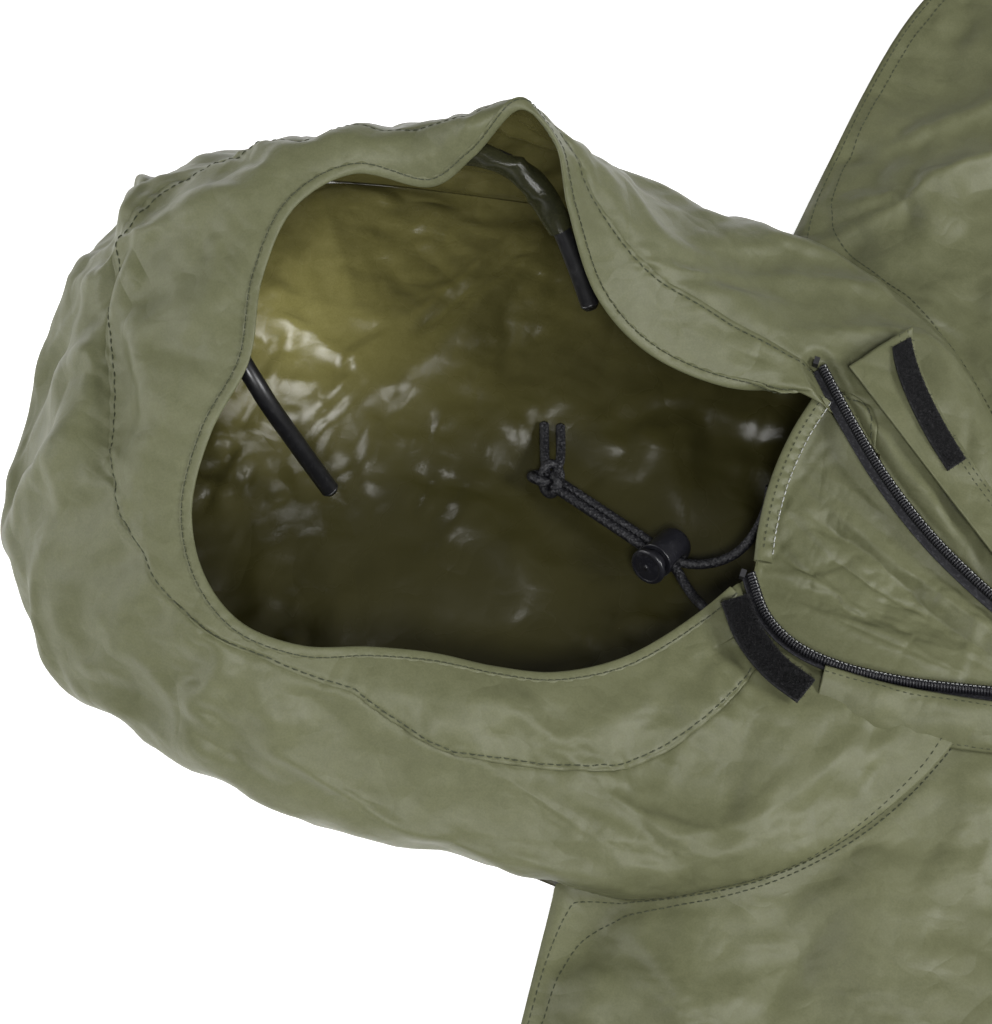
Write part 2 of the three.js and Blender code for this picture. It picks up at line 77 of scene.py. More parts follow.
def mix(a, b, t):
    return a + (b - a) * t


def smooth(x, low, high):
    t = np.clip((np.asarray(x, float) - low) / (high - low), 0, 1)
    return t * t * (3 - 2 * t)


def evenly(count):
    """That many numbers from 0 to 1."""
    return np.linspace(0, 1, count)


def unit(v):
    return v / np.maximum(np.linalg.norm(v, axis=-1, keepdims=True), 1e-9)


def in_row(points):
    """Millimetres from the shoulder line, as metres in the row frame."""
    return (np.asarray(points, float) + (NECK_X, 0, 0)) / 1000


class Curve:
    """A centripetal Catmull-Rom curve through its points, the same one that the CAD uses."""

    def __init__(self, points):
        self.p = np.array(points, float)

    def at(self, t):
        t = np.clip(np.asarray(t, float), 0, 1)
        p = self.p
        last = len(p) - 1
        i = np.minimum((t * last).astype(int), last - 1)
        w = (t * last - i)[..., None]
        before = np.vstack([2 * p[0] - p[1], p, 2 * p[-1] - p[-2]])
        a, b, c, d = (before[i + k] for k in range(4))

        def knot(q, r):
            return np.maximum(((q - r) ** 2).sum(-1, keepdims=True) ** 0.25, 1e-4)

        ab, bc, cd = knot(a, b), knot(b, c), knot(c, d)
        m1 = ((b - a) / ab - (c - a) / (ab + bc) + (c - b) / bc) * bc
        m2 = ((c - b) / bc - (d - b) / (bc + cd) + (d - c) / cd) * bc
        return b + w * (m1 + w * (3 * (c - b) - 2 * m1 - m2 + w * (2 * (b - c) + m1 + m2)))

    def along(self, count, start=0.0, end=1.0):
        """count points at even distances."""
        fine = self.at(np.linspace(start, end, 1200))
        gone = gone_on(fine)
        return read_off(np.linspace(0, gone[-1], count), gone, fine)


def gone_on(line):
    """Distance of each point of a line from its first, along the line."""
    return np.concatenate([[0], np.linalg.norm(np.diff(line, axis=0), axis=1).cumsum()])


def read_off(wanted, known, values):
    """Rows of values known at some places, read off at others."""
    return np.stack([np.interp(wanted, known, column) for column in values.T], 1)


def resampled(points, shares):
    """Points at those shares of a line's length."""
    points = np.asarray(points, float)
    gone = gone_on(points)
    return read_off(np.asarray(shares, float) * gone[-1], gone, points)


def length_of(points):
    return float(np.linalg.norm(np.diff(points, axis=0), axis=1).sum())


def hashed(i, j, k, seed):
    """A repeatable number from 0 to 1 for each lattice point."""
    h = (i * 374761393 + j * 668265263 + k * 2147483647 + seed * 1274126177) & 0xFFFFFFFF
    h = ((h ^ (h >> 13)) * 1274126177) & 0xFFFFFFFF
    h = ((h ^ (h >> 16)) * 2246822519) & 0xFFFFFFFF
    return ((h ^ (h >> 15)) & 0xFFFFFF) / float(0xFFFFFF)


def noise(points, size, seed):
    """Smooth noise from -1 to 1 whose bumps are about size wide."""
    q = np.asarray(points, float) / size + 1000
    cell = np.floor(q).astype(np.int64)
    f = q - cell
    f = f * f * f * (f * (f * 6 - 15) + 10)
    total = 0
    for a in (0, 1):
        for b in (0, 1):
            for c in (0, 1):
                value = hashed(cell[..., 0] + a, cell[..., 1] + b, cell[..., 2] + c, seed)
                weight = (f[..., 0] if a else 1 - f[..., 0]) * (f[..., 1] if b else 1 - f[..., 1])
                total = total + value * weight * (f[..., 2] if c else 1 - f[..., 2])
    return total * 2 - 1


def pleats(points, size, seed, round_off=0.028):
    """Creases of thin fabric, from 0 to 1: smooth flanks that meet in long sharp lines."""
    points = np.asarray(points, float)
    drift = np.stack([noise(points, size * 1.9, seed + k) for k in (11, 12, 13)], -1)
    value = noise(points + drift * size * 0.45, size, seed)
    return 1 - np.sqrt(value**2 + round_off**2)


def crumpled(points, seed, coarse, strength=1.0):
    """Height of the creases of coated nylon, in millimetres, with calm patches between them."""
    lively = smooth(noise(points, coarse * 1.8, seed + 5), -0.4, 0.5)
    broad = pleats(points, coarse, seed) - pleats(points, coarse * 0.78, seed + 20)
    small = pleats(points, coarse * 0.42, seed + 40) - pleats(points, coarse * 0.34, seed + 60)
    return strength * coarse * (0.12 * broad * (0.4 + 0.6 * lively) + 0.06 * small * lively)


# ---- meshes ----


def mesh_object(name, points, faces, smooth_faces=True):
    """A mesh from points in millimetres from the shoulder line."""
    mesh = bpy.data.meshes.new(name)
    mesh.from_pydata(in_row(points).tolist(), [], [tuple(int(i) for i in f) for f in faces])
    mesh.update()
    mesh.polygons.foreach_set("use_smooth", [smooth_faces] * len(mesh.polygons))
    made = bpy.data.objects.new(name, mesh)
    scene.collection.objects.link(made)
    return made


def grid_faces(rows, columns, round_columns=False, start=0):
    i, j = np.arange(rows - 1), np.arange(columns if round_columns else columns - 1)
    i, j = (a.ravel() for a in np.meshgrid(i, j, indexing="ij"))
    down, right = i + 1, (j + 1) % columns
    quads = [i * columns + j, down * columns + j, down * columns + right, i * columns + right]
    return np.stack(quads, 1) + start


def grid_object(name, grid, **closed):
    return mesh_object(name, grid.reshape(-1, 3), grid_faces(*grid.shape[:2], **closed))


def normals_of(grid):
    return unit(np.cross(np.gradient(grid, axis=0), np.gradient(grid, axis=1)))


def raised(grid, height):
    """The grid moved along its normals."""
    return grid + normals_of(grid) * height[..., None]


def ring_angles(sides):
    return 2 * np.pi * np.arange(sides) / sides


def rings_along(path, radius, sides):
    """Rings of points round a path, without twist. radius is a number, or one for each ring and side."""
    path = np.asarray(path, float)
    tangent = unit(np.gradient(path, axis=0))
    side = unit(np.cross(tangent[0], UP))
    frames = []
    for t in tangent:
        side = unit(side - t * (side @ t))
        frames.append((side, np.cross(t, side)))
    angle = ring_angles(sides)
    a, b = (np.array([f[k] for f in frames])[:, None, :] for k in (0, 1))
    around = a * np.cos(angle)[None, :, None] + b * np.sin(angle)[None, :, None]
    return path[:, None, :] + around * np.broadcast_to(radius, (len(path), sides))[..., None]


def tube_parts(path, radius, sides, start=0):
    """Points and faces of a closed tube with rounded ends."""
    rings = rings_along(path, radius, sides)
    tangent = unit(np.gradient(np.asarray(path, float), axis=0))
    points = rings.reshape(-1, 3)
    faces = grid_faces(len(rings), sides, round_columns=True, start=start).tolist()
    for end, sign in ((0, -1), (len(rings) - 1, 1)):
        middle = rings[end].mean(0)
        size = np.linalg.norm(rings[end] - middle, axis=1).mean()
        points = np.vstack([points, middle + (rings[end] - middle) * 0.7 + tangent[end] * sign * size * 0.45])
        points = np.vstack([points, middle + tangent[end] * sign * size * 0.62])
        edge, tip = end * sides + start, len(points) - 1 + start
        cap = tip - sides
        pairs = [(j, (j + 1) % sides) for j in range(sides)]
        made = [[edge + j, edge + k, cap + k, cap + j] for j, k in pairs]
        made += [[cap + j, cap + k, tip] for j, k in pairs]
        faces += [face[::sign] for face in made]
    return points, faces


def tube_object(name, path, radius, sides):
    return mesh_object(name, *tube_parts(path, radius, sides))


def many_tubes(name, paths, radius, sides):
    """Many short tubes in one mesh, such as stitches or teeth."""
    points, faces, start = [], [], 0
    for path in paths:
        p, f = tube_parts(path, radius, sides, start)
        points.append(p)
        faces.extend(f)
        start += len(p)
    return mesh_object(name, np.vstack(points), faces)


def selected(made):
    return bpy.context.temp_override(object=made, active_object=made, selected_objects=[made])


# ---- the hood's surface, as in the CAD ----


def neck_seam_x(y):
    return NECK_DROP * np.sqrt(np.maximum(0, 1 - (np.asarray(y, float) / NECK_HALF) ** 2))


def shoulder_x(y):
    out = np.maximum(0, np.abs(y) - NECK_HALF)
    return 0.1 * out + 60 * (out / (SHOULDER_HALF - NECK_HALF)) ** 6


def foot_x(y):
    return FOOT_X - 50 * (np.abs(y) / FOOT_HALF) ** 4


def half_width(x):
    return mix(SHOULDER_HALF, FOOT_HALF, np.clip(np.asarray(x, float) / FOOT_X, 0, 1))


def front_height(x, y):
    side = 1 - np.minimum(1, np.abs(y) / half_width(x)) ** 6
    fall = smooth(x - shoulder_x(y), 0, 70)
    in_neck = 1 - smooth(np.abs(y), 140, 200)
    return GROUND + (8 * side + 28 * np.exp(-((y / 190) ** 2))) * np.maximum(fall, in_neck)


def neck_end(y):
    x = float(neck_seam_x(y)) - 3 - 5 * abs(y / NECK_HALF) ** 3
    return (x, y, float(front_height(x, y)))


# Each rib of the hood: its end on the face opening, its end on the seam, and how far it flows out from the
# opening, rises there and bellies out above the seam.
RIBS = [
    ((37, -16, 48), neck_end(-36), (72, 2, 0)),
    ((22, -43, 49), neck_end(-76), (72, 2, 0)),
    ((-3, -76, 52), neck_end(-128), (72, 2, 2)),
    ((-30, -96, 58), neck_end(-158), (64, 2, 6)),
    ((-56, -105, 65), neck_end(-173), (54, 2, 12)),
    ((-86, -112, 75), (-42, -174, GROUND), (48, 2, 24)),
    ((-112, -121, 82), (-112, -178, GROUND), (42, 2, 32)),
    ((-139, -133, 90), (-190, -173, GROUND), (46, 0, 36)),
    ((-168, -133, 94), (-252, -156, GROUND), (58, 0, 38)),
    ((-192, -118, 98), (-292, -113, GROUND), (64, 0, 38)),
    ((-208, -92, 104), (-309, -64, GROUND), (66, 0, 34)),
    ((-212, -58, 113), (-315, -16, GROUND), (70, 0, 31)),
    ((-207, -23, 123), (-314, 30, GROUND), (80, 2, 34)),
    ((-215, 15, 131), (-311, 71, GROUND), (72, 4, 30)),
    ((-213, 52, 137), (-292, 104, GROUND), (42, 6, 12)),
    ((-193, 78, 138), (-258, 128, GROUND), (24, 18, 2)),
    ((-158, 88, 131), (-216, 144, GROUND), (22, 44, -4)),
    ((-143, 102, 145), (-178, 154, GROUND), (14, 44, -6)),
    ((-127, 123, 163), (-140, 162, GROUND), (5, 5, -4)),
    ((-108, 117, 154), (-98, 169, GROUND), (4, -12, 0)),
    ((-94, 99, 130), (-58, 173, GROUND), (14, -8, 4)),
    ((-70, 76, 97), (-18, 174, GROUND), (30, 0, 10)),
    ((-40, 67, 75), neck_end(172), (50, 4, 8)),
    ((0, 69, 62), neck_end(146), (62, 4, 4)),
    ((25, 80, 57), neck_end(96), (70, 2, 0)),
    ((41, 94, 55), neck_end(20), (80, 2, 0)),
]
rim_curve = Curve([r[0] for r in RIBS])
seam_curve = Curve([r[1] for r in RIBS])
fullness = Curve([r[2] for r in RIBS])


def hood_surface(u, v):
    """Points of the hood: u runs round the face opening, v from its rim down to the ground or neck seam."""
    rim, seam = rim_curve.at(u), seam_curve.at(u)
    flow, rise, belly = (fullness.at(u)[..., k, None] for k in range(3))
    out = unit((seam - rim) * (1, 1, 0))
    drop = (rim - seam)[..., 2, None]
    leave = rim + out * flow + UP * rise
    land = seam + out * 1.1 * belly + UP * 0.62 * drop
    v = np.asarray(v, float)[..., None]
    w = 1 - v
    return rim * w**3 + 3 * leave * w * w * v + 3 * land * w * v * v + seam * v**3


# Share of each rib that lies inside the facing's stitch line.
FACING = [
    *(0.20, 0.22, 0.23, 0.29, 0.33, 0.33, 0.15, 0.10, 0.10, 0.15, 0.25, 0.37, 0.48),
    *(0.46, 0.36, 0.30, 0.28, 0.27, 0.26, 0.24, 0.22, 0.22, 0.22, 0.22, 0.22, 0.20),
]


def facing_share(u):
    return np.interp(u, evenly(len(FACING)), FACING)


# ---- materials ----


class Shader:
    """A material, and a short way to write its nodes."""

    def __init__(self, name, **values):
        self.material = bpy.data.materials.new(name)
        self.material.use_nodes = True
        self.tree = self.material.node_tree
        self.skin = self.tree.nodes["Principled BSDF"]
        self.place = self.add("ShaderNodeTexCoord").outputs["Object"]
        self.set(**values)

    def feed(self, socket, value):
        if isinstance(value, bpy.types.NodeSocket):
            self.tree.links.new(value, socket)
        else:
            socket.default_value = value

    def add(self, kind, settings=None, **inputs):
        node = self.tree.nodes.new(kind)
        for key, value in (settings or {}).items():
            setattr(node, key, value)
        for key, value in inputs.items():
            self.feed(node.inputs[key.replace("_", " ")], value)
        return node

    def set(self, **values):
        for key, value in values.items():
            self.feed(self.skin.inputs[key.replace("_", " ")], value)

    def noise(self, scale, detail=3.0, roughness=0.55, distortion=0.0):
        look = {"Scale": scale, "Detail": detail, "Roughness": roughness, "Distortion": distortion}
        return self.add("ShaderNodeTexNoise", Vector=self.place, **look).outputs["Fac"]

    def ramp(self, value, low, high, to_low=0.0, to_high=1.0):
        made = self.add("ShaderNodeMapRange", Value=value)
        for index, number in zip((1, 2, 3, 4), (low, high, to_low, to_high)):
            made.inputs[index].default_value = number
        return made.outputs["Result"]

    def maths(self, operation, a, b=0.0):
        made = self.add("ShaderNodeMath", {"operation": operation})
        for index, value in enumerate((a, b)):
            self.feed(made.inputs[index], value)
        return made.outputs[0]

    def blend(self, share, a, b):
        made = self.add("ShaderNodeMix", {"data_type": "RGBA"})
        for index, value in zip((0, 6, 7), (share, a, b)):
            self.feed(made.inputs[index], value)
        return made.outputs[2]

    def bumped(self, *layers):
        """Each layer is (height, distance in metres, strength)."""
        normal = None
        for height, distance, strength in layers:
            made = self.add("ShaderNodeBump", Height=height, Distance=distance, Strength=strength)
            if normal is not None:
                self.feed(made.inputs["Normal"], normal)
            normal = made.outputs["Normal"]
        self.set(Normal=normal)


def woven(shader, thread):
    """Height of a plain weave whose threads are that many metres apart."""
    turns = 2 * math.pi / thread
    parts = shader.add("ShaderNodeSeparateXYZ", Vector=shader.place)
    waves = []
    for axis, other in (("X", "Y"), ("Y", "Z")):
        run = shader.maths("ADD", parts.outputs[axis], shader.maths("MULTIPLY", parts.outputs[other], 0.31))
        waves.append(shader.maths("SINE", shader.maths("MULTIPLY", run, turns)))
    return shader.maths("MULTIPLY", *waves)


def creased(shader, scale):
    """Height of fine creases: flat flanks that meet in sharp lines."""
    wave = shader.noise(scale, 1.2, 0.4, 0.4)
    return shader.maths("ABSOLUTE", shader.maths("SUBTRACT", wave, 0.5))


def nylon(name, dark, light, rough, crinkle=1.0, fall=None):
    """Coated nylon: weave, fine creases, cloudy colour, patchy gloss, and, when fall is given, painted light
    and shade that darkens the colour from the head end towards the neck and the near side.
    """
    s = Shader(name, Specular_IOR_Level=0.36)
    cloud = s.noise(7.0, 4.0)
    grain = s.noise(1100.0, 2.0)
    crinkles = s.noise(95.0, 4.0, 0.6, 0.8)
    tone = s.maths("ADD", s.ramp(cloud, 0.3, 0.7, 0.0, 0.65), s.ramp(crinkles, 0.35, 0.65, -0.1, 0.3))
    tone = s.maths("ADD", tone, s.ramp(grain, 0.3, 0.7, -0.25, 0.25))
    colour = s.blend(s.ramp(tone, 0.0, 1.0), (*dark, 1), (*light, 1))
    # Painted light and shade: towards the neck and the near side the colour drops to fall times the dark
    # tone. This stands in for the light that comes in at the head end and through the far wall.
    if fall:
        parts = s.add("ShaderNodeSeparateXYZ", Vector=s.place)
        far = s.maths("SUBTRACT", s.maths("MULTIPLY", parts.outputs["Y"], 1.3), parts.outputs["X"])
        colour = s.blend(s.ramp(far, 0.94, 1.13), tuple(c * fall for c in dark) + (1,), colour)
    s.set(Base_Color=colour)
    s.set(Roughness=s.ramp(s.noise(23.0, 3.0), 0.3, 0.7, rough - 0.06, rough + 0.08))
    s.bumped(
        (woven(s, 0.00045), 0.00005, 0.25),
        (crinkles, 0.0006 * crinkle, 0.3),
        (creased(s, 66.0), 0.0034 * crinkle, 0.3),
        (creased(s, 25.0), 0.014 * crinkle, 0.3),
    )
    return s.material


def threads(name, colour, thread, rough, lights=0.0):
    """Woven tape or cord: small threads, some of them catching light."""
    s = Shader(name, Specular_IOR_Level=0.4)
    fleck = s.ramp(s.noise(900.0, 2.0), 0.52, 0.75)
    bright = tuple(min(1.0, c * 2.2 + lights) for c in colour)
    s.set(Base_Color=s.blend(fleck, (*colour, 1), (*bright, 1)))
    s.set(Roughness=s.ramp(s.noise(300.0), 0.3, 0.7, rough - 0.12, rough + 0.1))
    s.bumped((woven(s, thread), 0.0001, 0.6), (s.noise(700.0), 0.0002, 0.4))
    return s.material


def moulded(name, colour, rough, metallic=0.0):
    """Moulded plastic or lacquered metal with faint scuffs."""
    s = Shader(name, Metallic=metallic)
    scuff = s.ramp(s.noise(260.0, 5.0, 0.7, 1.5), 0.55, 0.72)
    pale = tuple(c * 1.6 + 0.012 for c in colour)
    s.set(Base_Color=s.blend(scuff, (*colour, 1), (*pale, 1)))
    s.set(Roughness=s.ramp(s.noise(140.0, 4.0), 0.3, 0.7, rough - 0.05, rough + 0.09))
    s.bumped((s.noise(450.0, 3.0), 0.00008, 0.35))
    return s.material


SHELL = nylon("olive_nylon", (0.107, 0.112, 0.056), (0.146, 0.151, 0.081), 0.47)
# The coated inside carries painted light and shade: its last argument darkens it towards the neck and the
# near side.
INSIDE = nylon("coated_inside", (0.090, 0.082, 0.025), (0.125, 0.114, 0.041), 0.26, 0.7, 0.34)
GROUNDSHEET = nylon("groundsheet_nylon", (0.085, 0.095, 0.055), (0.130, 0.142, 0.085), 0.45)
SLEEVE = nylon("sleeve_nylon", (0.018, 0.019, 0.009), (0.040, 0.040, 0.018), 0.2, 0.8)
STITCH = threads("olive_thread", (0.050, 0.056, 0.030), 0.0004, 0.6)
PALE_THREAD = threads("pale_thread", (0.42, 0.43, 0.42), 0.0004, 0.6)
BLACK_CORD = threads("black_braid", (0.005, 0.005, 0.007), 0.0009, 0.5, 0.06)
BLACK_TAPE = threads("black_tape", (0.011, 0.011, 0.014), 0.0007, 0.7, 0.03)
TOUCH = threads("touch_tape", (0.009, 0.009, 0.010), 0.0009, 0.85, 0.02)
ZIP_PLASTIC = moulded("zip_nylon", (0.010, 0.010, 0.013), 0.38)
ROD_PLASTIC = moulded("rod_plastic", (0.008, 0.008, 0.009), 0.34)
LOCK_PLASTIC = moulded("lock_plastic", (0.010, 0.010, 0.013), 0.30)
ZIP_METAL = moulded("zip_metal", (0.030, 0.030, 0.034), 0.36, 0.8)
SPRING_STEEL = moulded("spring_steel", (0.55, 0.55, 0.57), 0.28, 1.0)
SEAM_TAPE = nylon("seam_tape", (0.20, 0.20, 0.13), (0.30, 0.30, 0.21), 0.14, 0.9)


def dress(made, slot, *materials):
    for m in materials:
        made.data.materials.append(m)
    return made


def settle(made, body, slot, materials, *nodes):
    """Gives a finished piece its material and its body, and hides the CAD nodes it stands for."""
    dress(made, slot, *(materials if isinstance(materials, tuple) else (materials,)))
    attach(made, body)
    if nodes:
        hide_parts(*nodes)
    return made


# ---- camera ----

AZIMUTH = math.radians(20)
ELEVATION = math.radians(68)
AIM = Vector((-0.9119, -0.0073, 0.0))
DISTANCE = 1.21


def place_camera():
    back = Vector((
        math.sin(AZIMUTH) * math.cos(ELEVATION),
        -math.cos(AZIMUTH) * math.cos(ELEVATION),
        math.sin(ELEVATION),
    ))
    right = Vector((math.cos(AZIMUTH), math.sin(AZIMUTH), 0))
    turn = Matrix((right, back.cross(right), back)).transposed()
    data = bpy.data.cameras.new("camera")
    data.lens = 85
    data.sensor_width = 36
    camera = bpy.data.objects.new("camera", data)
    camera.matrix_world = Matrix.Translation(AIM + back * DISTANCE) @ turn.to_4x4()
    scene.collection.objects.link(camera)
    scene.camera = camera


place_camera()


# ---- drawcord, knot and cord lock ----

lock_at = np.array([-5.0, -9.0, 22.0])
knot_at = np.array([-70.0, 12.5, 14.0])
cord_way = unit(knot_at - lock_at)
lock_axis = np.array([-0.31, -0.82, 0.46])
lock_axis = unit(lock_axis - cord_way * (lock_axis @ cord_way))
lock_side = np.cross(lock_axis, cord_way)
CORD_PITCH = 5.6  # from the middle of one strand to the other, in the cord lock
CORD_SIDES = 28
PASSAGE = (3.0, 5.9)  # half width and half height of the cord lock's passage for the two strands


def beside(along, over):
    return lock_at + cord_way * along + lock_axis * over


def braided(path, step=0.42, strands=6, radius=CORD / 2):
    """The evenly spaced path of a braided cord, and its radius at each ring and side."""
    curve = Curve(path)
    count = int(length_of(curve.at(evenly(400))) / step)
    line = curve.along(count)
    s = (np.arange(count) * step)[:, None] / radius
    angle = ring_angles(CORD_SIDES)[None, :]
    left = np.cos(strands * (angle + s * 0.9))
    right = np.cos(strands * (angle - s * 0.9))
    over = np.maximum(left, right) * (0.75 + 0.25 * np.sign(left - right) * np.cos(strands * angle))
    return line, radius * (0.89 + 0.12 * over)


def cord_piece(name, node, path):
    """A braided cord along a path, and its line in metres."""
    line, radius = braided(path)
    made = tube_object(name, line, radius, CORD_SIDES)
    return settle(made, "bag", "cord", BLACK_CORD, node), in_row(line)


def strand(name, node, lead, over):
    return cord_piece(name, node, [*lead, *(beside(a, over) for a in (-9, 0, 20, 40, 58, 66))])


FAR_LEAD = [(34, 35, 41), (35.5, 27, 36), (34, 14, 30), (29, 3, 26), (21, -4, 23), (12, -8, 21.5)]
NEAR_LEAD = [(26, -39, 47), (22, -35, 43), (20, -31, 35), (16, -26, 27), (9.5, -20, 24.5)]
far_strand, far_line = strand("drawcord_far_strand", "drawcord_far", FAR_LEAD, -CORD_PITCH / 2)
near_strand, near_line = strand("drawcord_near_strand", "drawcord_near", NEAR_LEAD, CORD_PITCH / 2)


def knot_path():
    """The two strands tied together: three lobes drawn tight, as in an overhand knot."""
    t = np.linspace(0, 2 * np.pi, 49)
    lobes = np.stack([np.sin(t) + 2 * np.sin(2 * t), np.cos(t) - 2 * np.cos(2 * t), -1.25 * np.sin(3 * t)], 1)
    across = unit(np.cross(UP, cord_way))
    basis = np.stack([cord_way * 2.8, across * 2.5, unit(np.cross(cord_way, across)) * 2.8])
    return beside(71, 0) + lobes @ basis


knot, _ = cord_piece("drawcord_knot_tied", "drawcord_knot", knot_path())
TAILS = {
    "one": [(-73, 14, 15.5), (-77, 23, 14), (-80, 31, 11.5), (-84, 42, 9.5)],
    "two": [(-69, 15, 15.5), (-69.5, 24.5, 13.5), (-72, 33, 11), (-76, 44, 9)],
}
tails = [cord_piece(f"drawcord_tail_{k}", f"drawcord_end_{k}", route)[0] for k, route in TAILS.items()]


def turned(name, profile, sides=64):
    """A turned shape standing on the cord lock's axis; profile is (radius, height)."""
    p = np.array(profile, float)
    angle = ring_angles(sides)
    ring = np.cos(angle)[:, None] * cord_way + np.sin(angle)[:, None] * lock_side
    grid = lock_at + ring[None] * p[:, 0, None, None] + lock_axis * p[:, 1, None, None]
    faces = grid_faces(len(p), sides, round_columns=True)[:, ::-1].tolist()
    last = (len(p) - 1) * sides
    faces += [list(range(sides)), list(range(last, last + sides))[::-1]]
    return mesh_object(name, grid.reshape(-1, 3), faces)


def rounded(corners, radius=0.6, steps=4):
    """The profile with each inner corner rounded off."""
    c = np.array(corners, float)
    made = [c[0]]
    for before, corner, after in zip(c, c[1:], c[2:]):
        a = corner + unit(before - corner) * min(radius, np.linalg.norm(before - corner) / 2.2)
        b = corner + unit(after - corner) * min(radius, np.linalg.norm(after - corner) / 2.2)
        for t in evenly(steps + 1):
            made.append(a * (1 - t) ** 2 + 2 * corner * t * (1 - t) + b * t * t)
    return [*made, c[-1]]


BARREL = [(0.4, -13), (8.2, -13), (9, -11), (9, 7), (6.5, 7), (6.5, -11), (0.4, -11)]
PLUNGER = [(0.4, -6.9), (6.2, -6.9), (6.2, 11.4)]
BUTTON = [*PLUNGER, (9.3, 11.4), (9.3, 13.6), (7.6, 14.4), (6.9, 13.9), (3, 14.3), (0.4, 14.5)]


def cord_lock():
    """The barrel with its passage for the two cords, and the button."""
    barrel = turned("lock_barrel", rounded(BARREL))
    ring = [(0, 1), (0.7, 0.72), (1, 0), (0.7, -0.72), (0, -1), (-0.7, -0.72), (-1, 0), (-0.7, 0.72)]
    corners = np.array([lock_side * x * PASSAGE[0] + lock_axis * y * PASSAGE[1] for x, y in ring])
    grid = np.array([lock_at + cord_way * end + corners for end in (-15, 15)])
    faces = grid_faces(2, 8, round_columns=True).tolist() + [list(range(8)), list(range(8, 16))[::-1]]
    cutter = mesh_object("lock_hole", grid.reshape(-1, 3), faces, False)
    cut = barrel.modifiers.new("hole", "BOOLEAN")
    cut.operation = "DIFFERENCE"
    cut.solver = "EXACT"
    cut.object = cutter
    with selected(barrel):
        bpy.ops.object.modifier_apply(modifier=cut.name)
    bpy.data.objects.remove(cutter)
    button = turned("lock_button", rounded(BUTTON, 0.7))
    for made in (barrel, button):
        with selected(made):
            bpy.ops.object.shade_auto_smooth(angle=math.radians(40))
    return barrel, button


lock_barrel, lock_button = cord_lock()
settle(lock_barrel, "cord_lock", "lock_plastic", LOCK_PLASTIC, "cord_lock_barrel")
settle(lock_button, "lock_button", "lock_plastic", LOCK_PLASTIC, "cord_lock_button")
spring = dress(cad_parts["cord_lock_spring"], "spring_steel", SPRING_STEEL)
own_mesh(spring)


# ---- cloth ----


def upsampled(grid):
    """The grid with a new point between each two, on smooth curves."""
    for axis in (0, 1):
        g = np.moveaxis(grid, axis, 0)
        ends = np.concatenate([2 * g[:1] - g[1:2], g, 2 * g[-1:] - g[-2:-1]])
        between = (9 * (ends[1:-2] + ends[2:-1]) - ends[:-3] - ends[3:]) / 16
        made = np.empty((2 * len(g) - 1, *g.shape[1:]))
        made[::2] = g
        made[1::2] = between
        grid = np.moveaxis(made, 0, axis)
    return grid


def gone_across(grid):
    """Distance of each point from the grid's first column, along its row."""
    steps = np.linalg.norm(np.diff(grid, axis=1), axis=2)
    return np.concatenate([np.zeros((len(grid), 1)), steps.cumsum(1)], 1)


def gone_along(grid):
    return gone_across(grid.transpose(1, 0, 2)).T


def fabric(name, grid, thickness, upward=False):
    """A panel with a real thickness: outside in the first material, inside in the second."""
    rows, columns = grid.shape[:2]
    n = normals_of(grid)
    if upward and n[..., 2].mean() < 0:
        grid, n = grid[::-1], -n[::-1]
    points = np.vstack([(grid + n * thickness / 2).reshape(-1, 3), (grid - n * thickness / 2).reshape(-1, 3)])
    outer = grid_faces(rows, columns)
    count = rows * columns
    inner = outer[:, ::-1] + count
    index = np.arange(count).reshape(rows, columns)
    loop = np.concatenate([index[0, :-1], index[:-1, -1], index[-1, :0:-1], index[:0:-1, 0]])
    following = np.roll(loop, -1)
    edge = np.stack([loop, loop + count, following + count, following], 1)[:, ::-1]
    made = mesh_object(name, points, np.vstack([outer, inner, edge]))
    second = np.zeros(len(made.data.polygons), np.int32)
    second[len(outer) : 2 * len(outer)] = 1
    made.data.polygons.foreach_set("material_index", second)
    return made


def stitches(name, line, normals, pitch=3.4, length=2.5, radius=0.26, lift=0.2, **worn):
    """A row of stitches along a line that lies on fabric."""
    line = np.asarray(line, float)
    gone = gone_on(line)
    above = (np.array([-0.3, lift, lift, -0.3]) + CLOTH / 2)[:, None]
    paths = []
    for k in range(int((gone[-1] - length) / pitch)):
        at = k * pitch + np.array([0, 0.3, 0.7, 1]) * length
        paths.append(read_off(at, gone, line) + read_off(at, gone, normals) * above)
    look = {"body": "bag", "slot": "shell_fabric", "materials": STITCH, **worn}
    return settle(many_tubes(name, paths, radius, 5), **look)


def sew(name, grid, columns, **settings):
    """Rows of stitches along chosen columns of a fabric grid, on its outside."""
    n = normals_of(grid)
    return [stitches(f"{name}_{k}", grid[:, c], n[:, c], **settings) for k, c in enumerate(columns)]


def panel(name, grid, *nodes, thickness=CLOTH):
    """A panel of the shell's fabric, coated inside."""
    return settle(fabric(name, grid, thickness), "bag", "shell_fabric", (SHELL, INSIDE), *nodes)


def clear_of_sides(grid, first, last):
    """0 at the grid's first and last column, and 1 from those distances away."""
    gone = gone_across(grid)
    return smooth(gone, 0, first) * smooth(gone[:, -1:] - gone, 0, last)


def softened(values, reach):
    """A grid of values averaged over that many cells each way."""
    for axis in (0, 1):
        v = np.moveaxis(values, axis, 0)
        ends = [np.repeat(v[:1], reach + 1, 0), v, np.repeat(v[-1:], reach, 0)]
        run = np.concatenate(ends).cumsum(0)
        values = np.moveaxis((run[2 * reach + 1 :] - run[: -2 * reach - 1]) / (2 * reach + 1), 0, axis)
    return values


HELD_LEVELS = 25
CLOTH_SETTINGS = {
    "quality": 5,
    "mass": 0.08,
    "air_damping": 2.0,
    "tension_stiffness": 30,
    "compression_stiffness": 30,
    "shear_stiffness": 12,
    "bending_stiffness": 0.02,
}


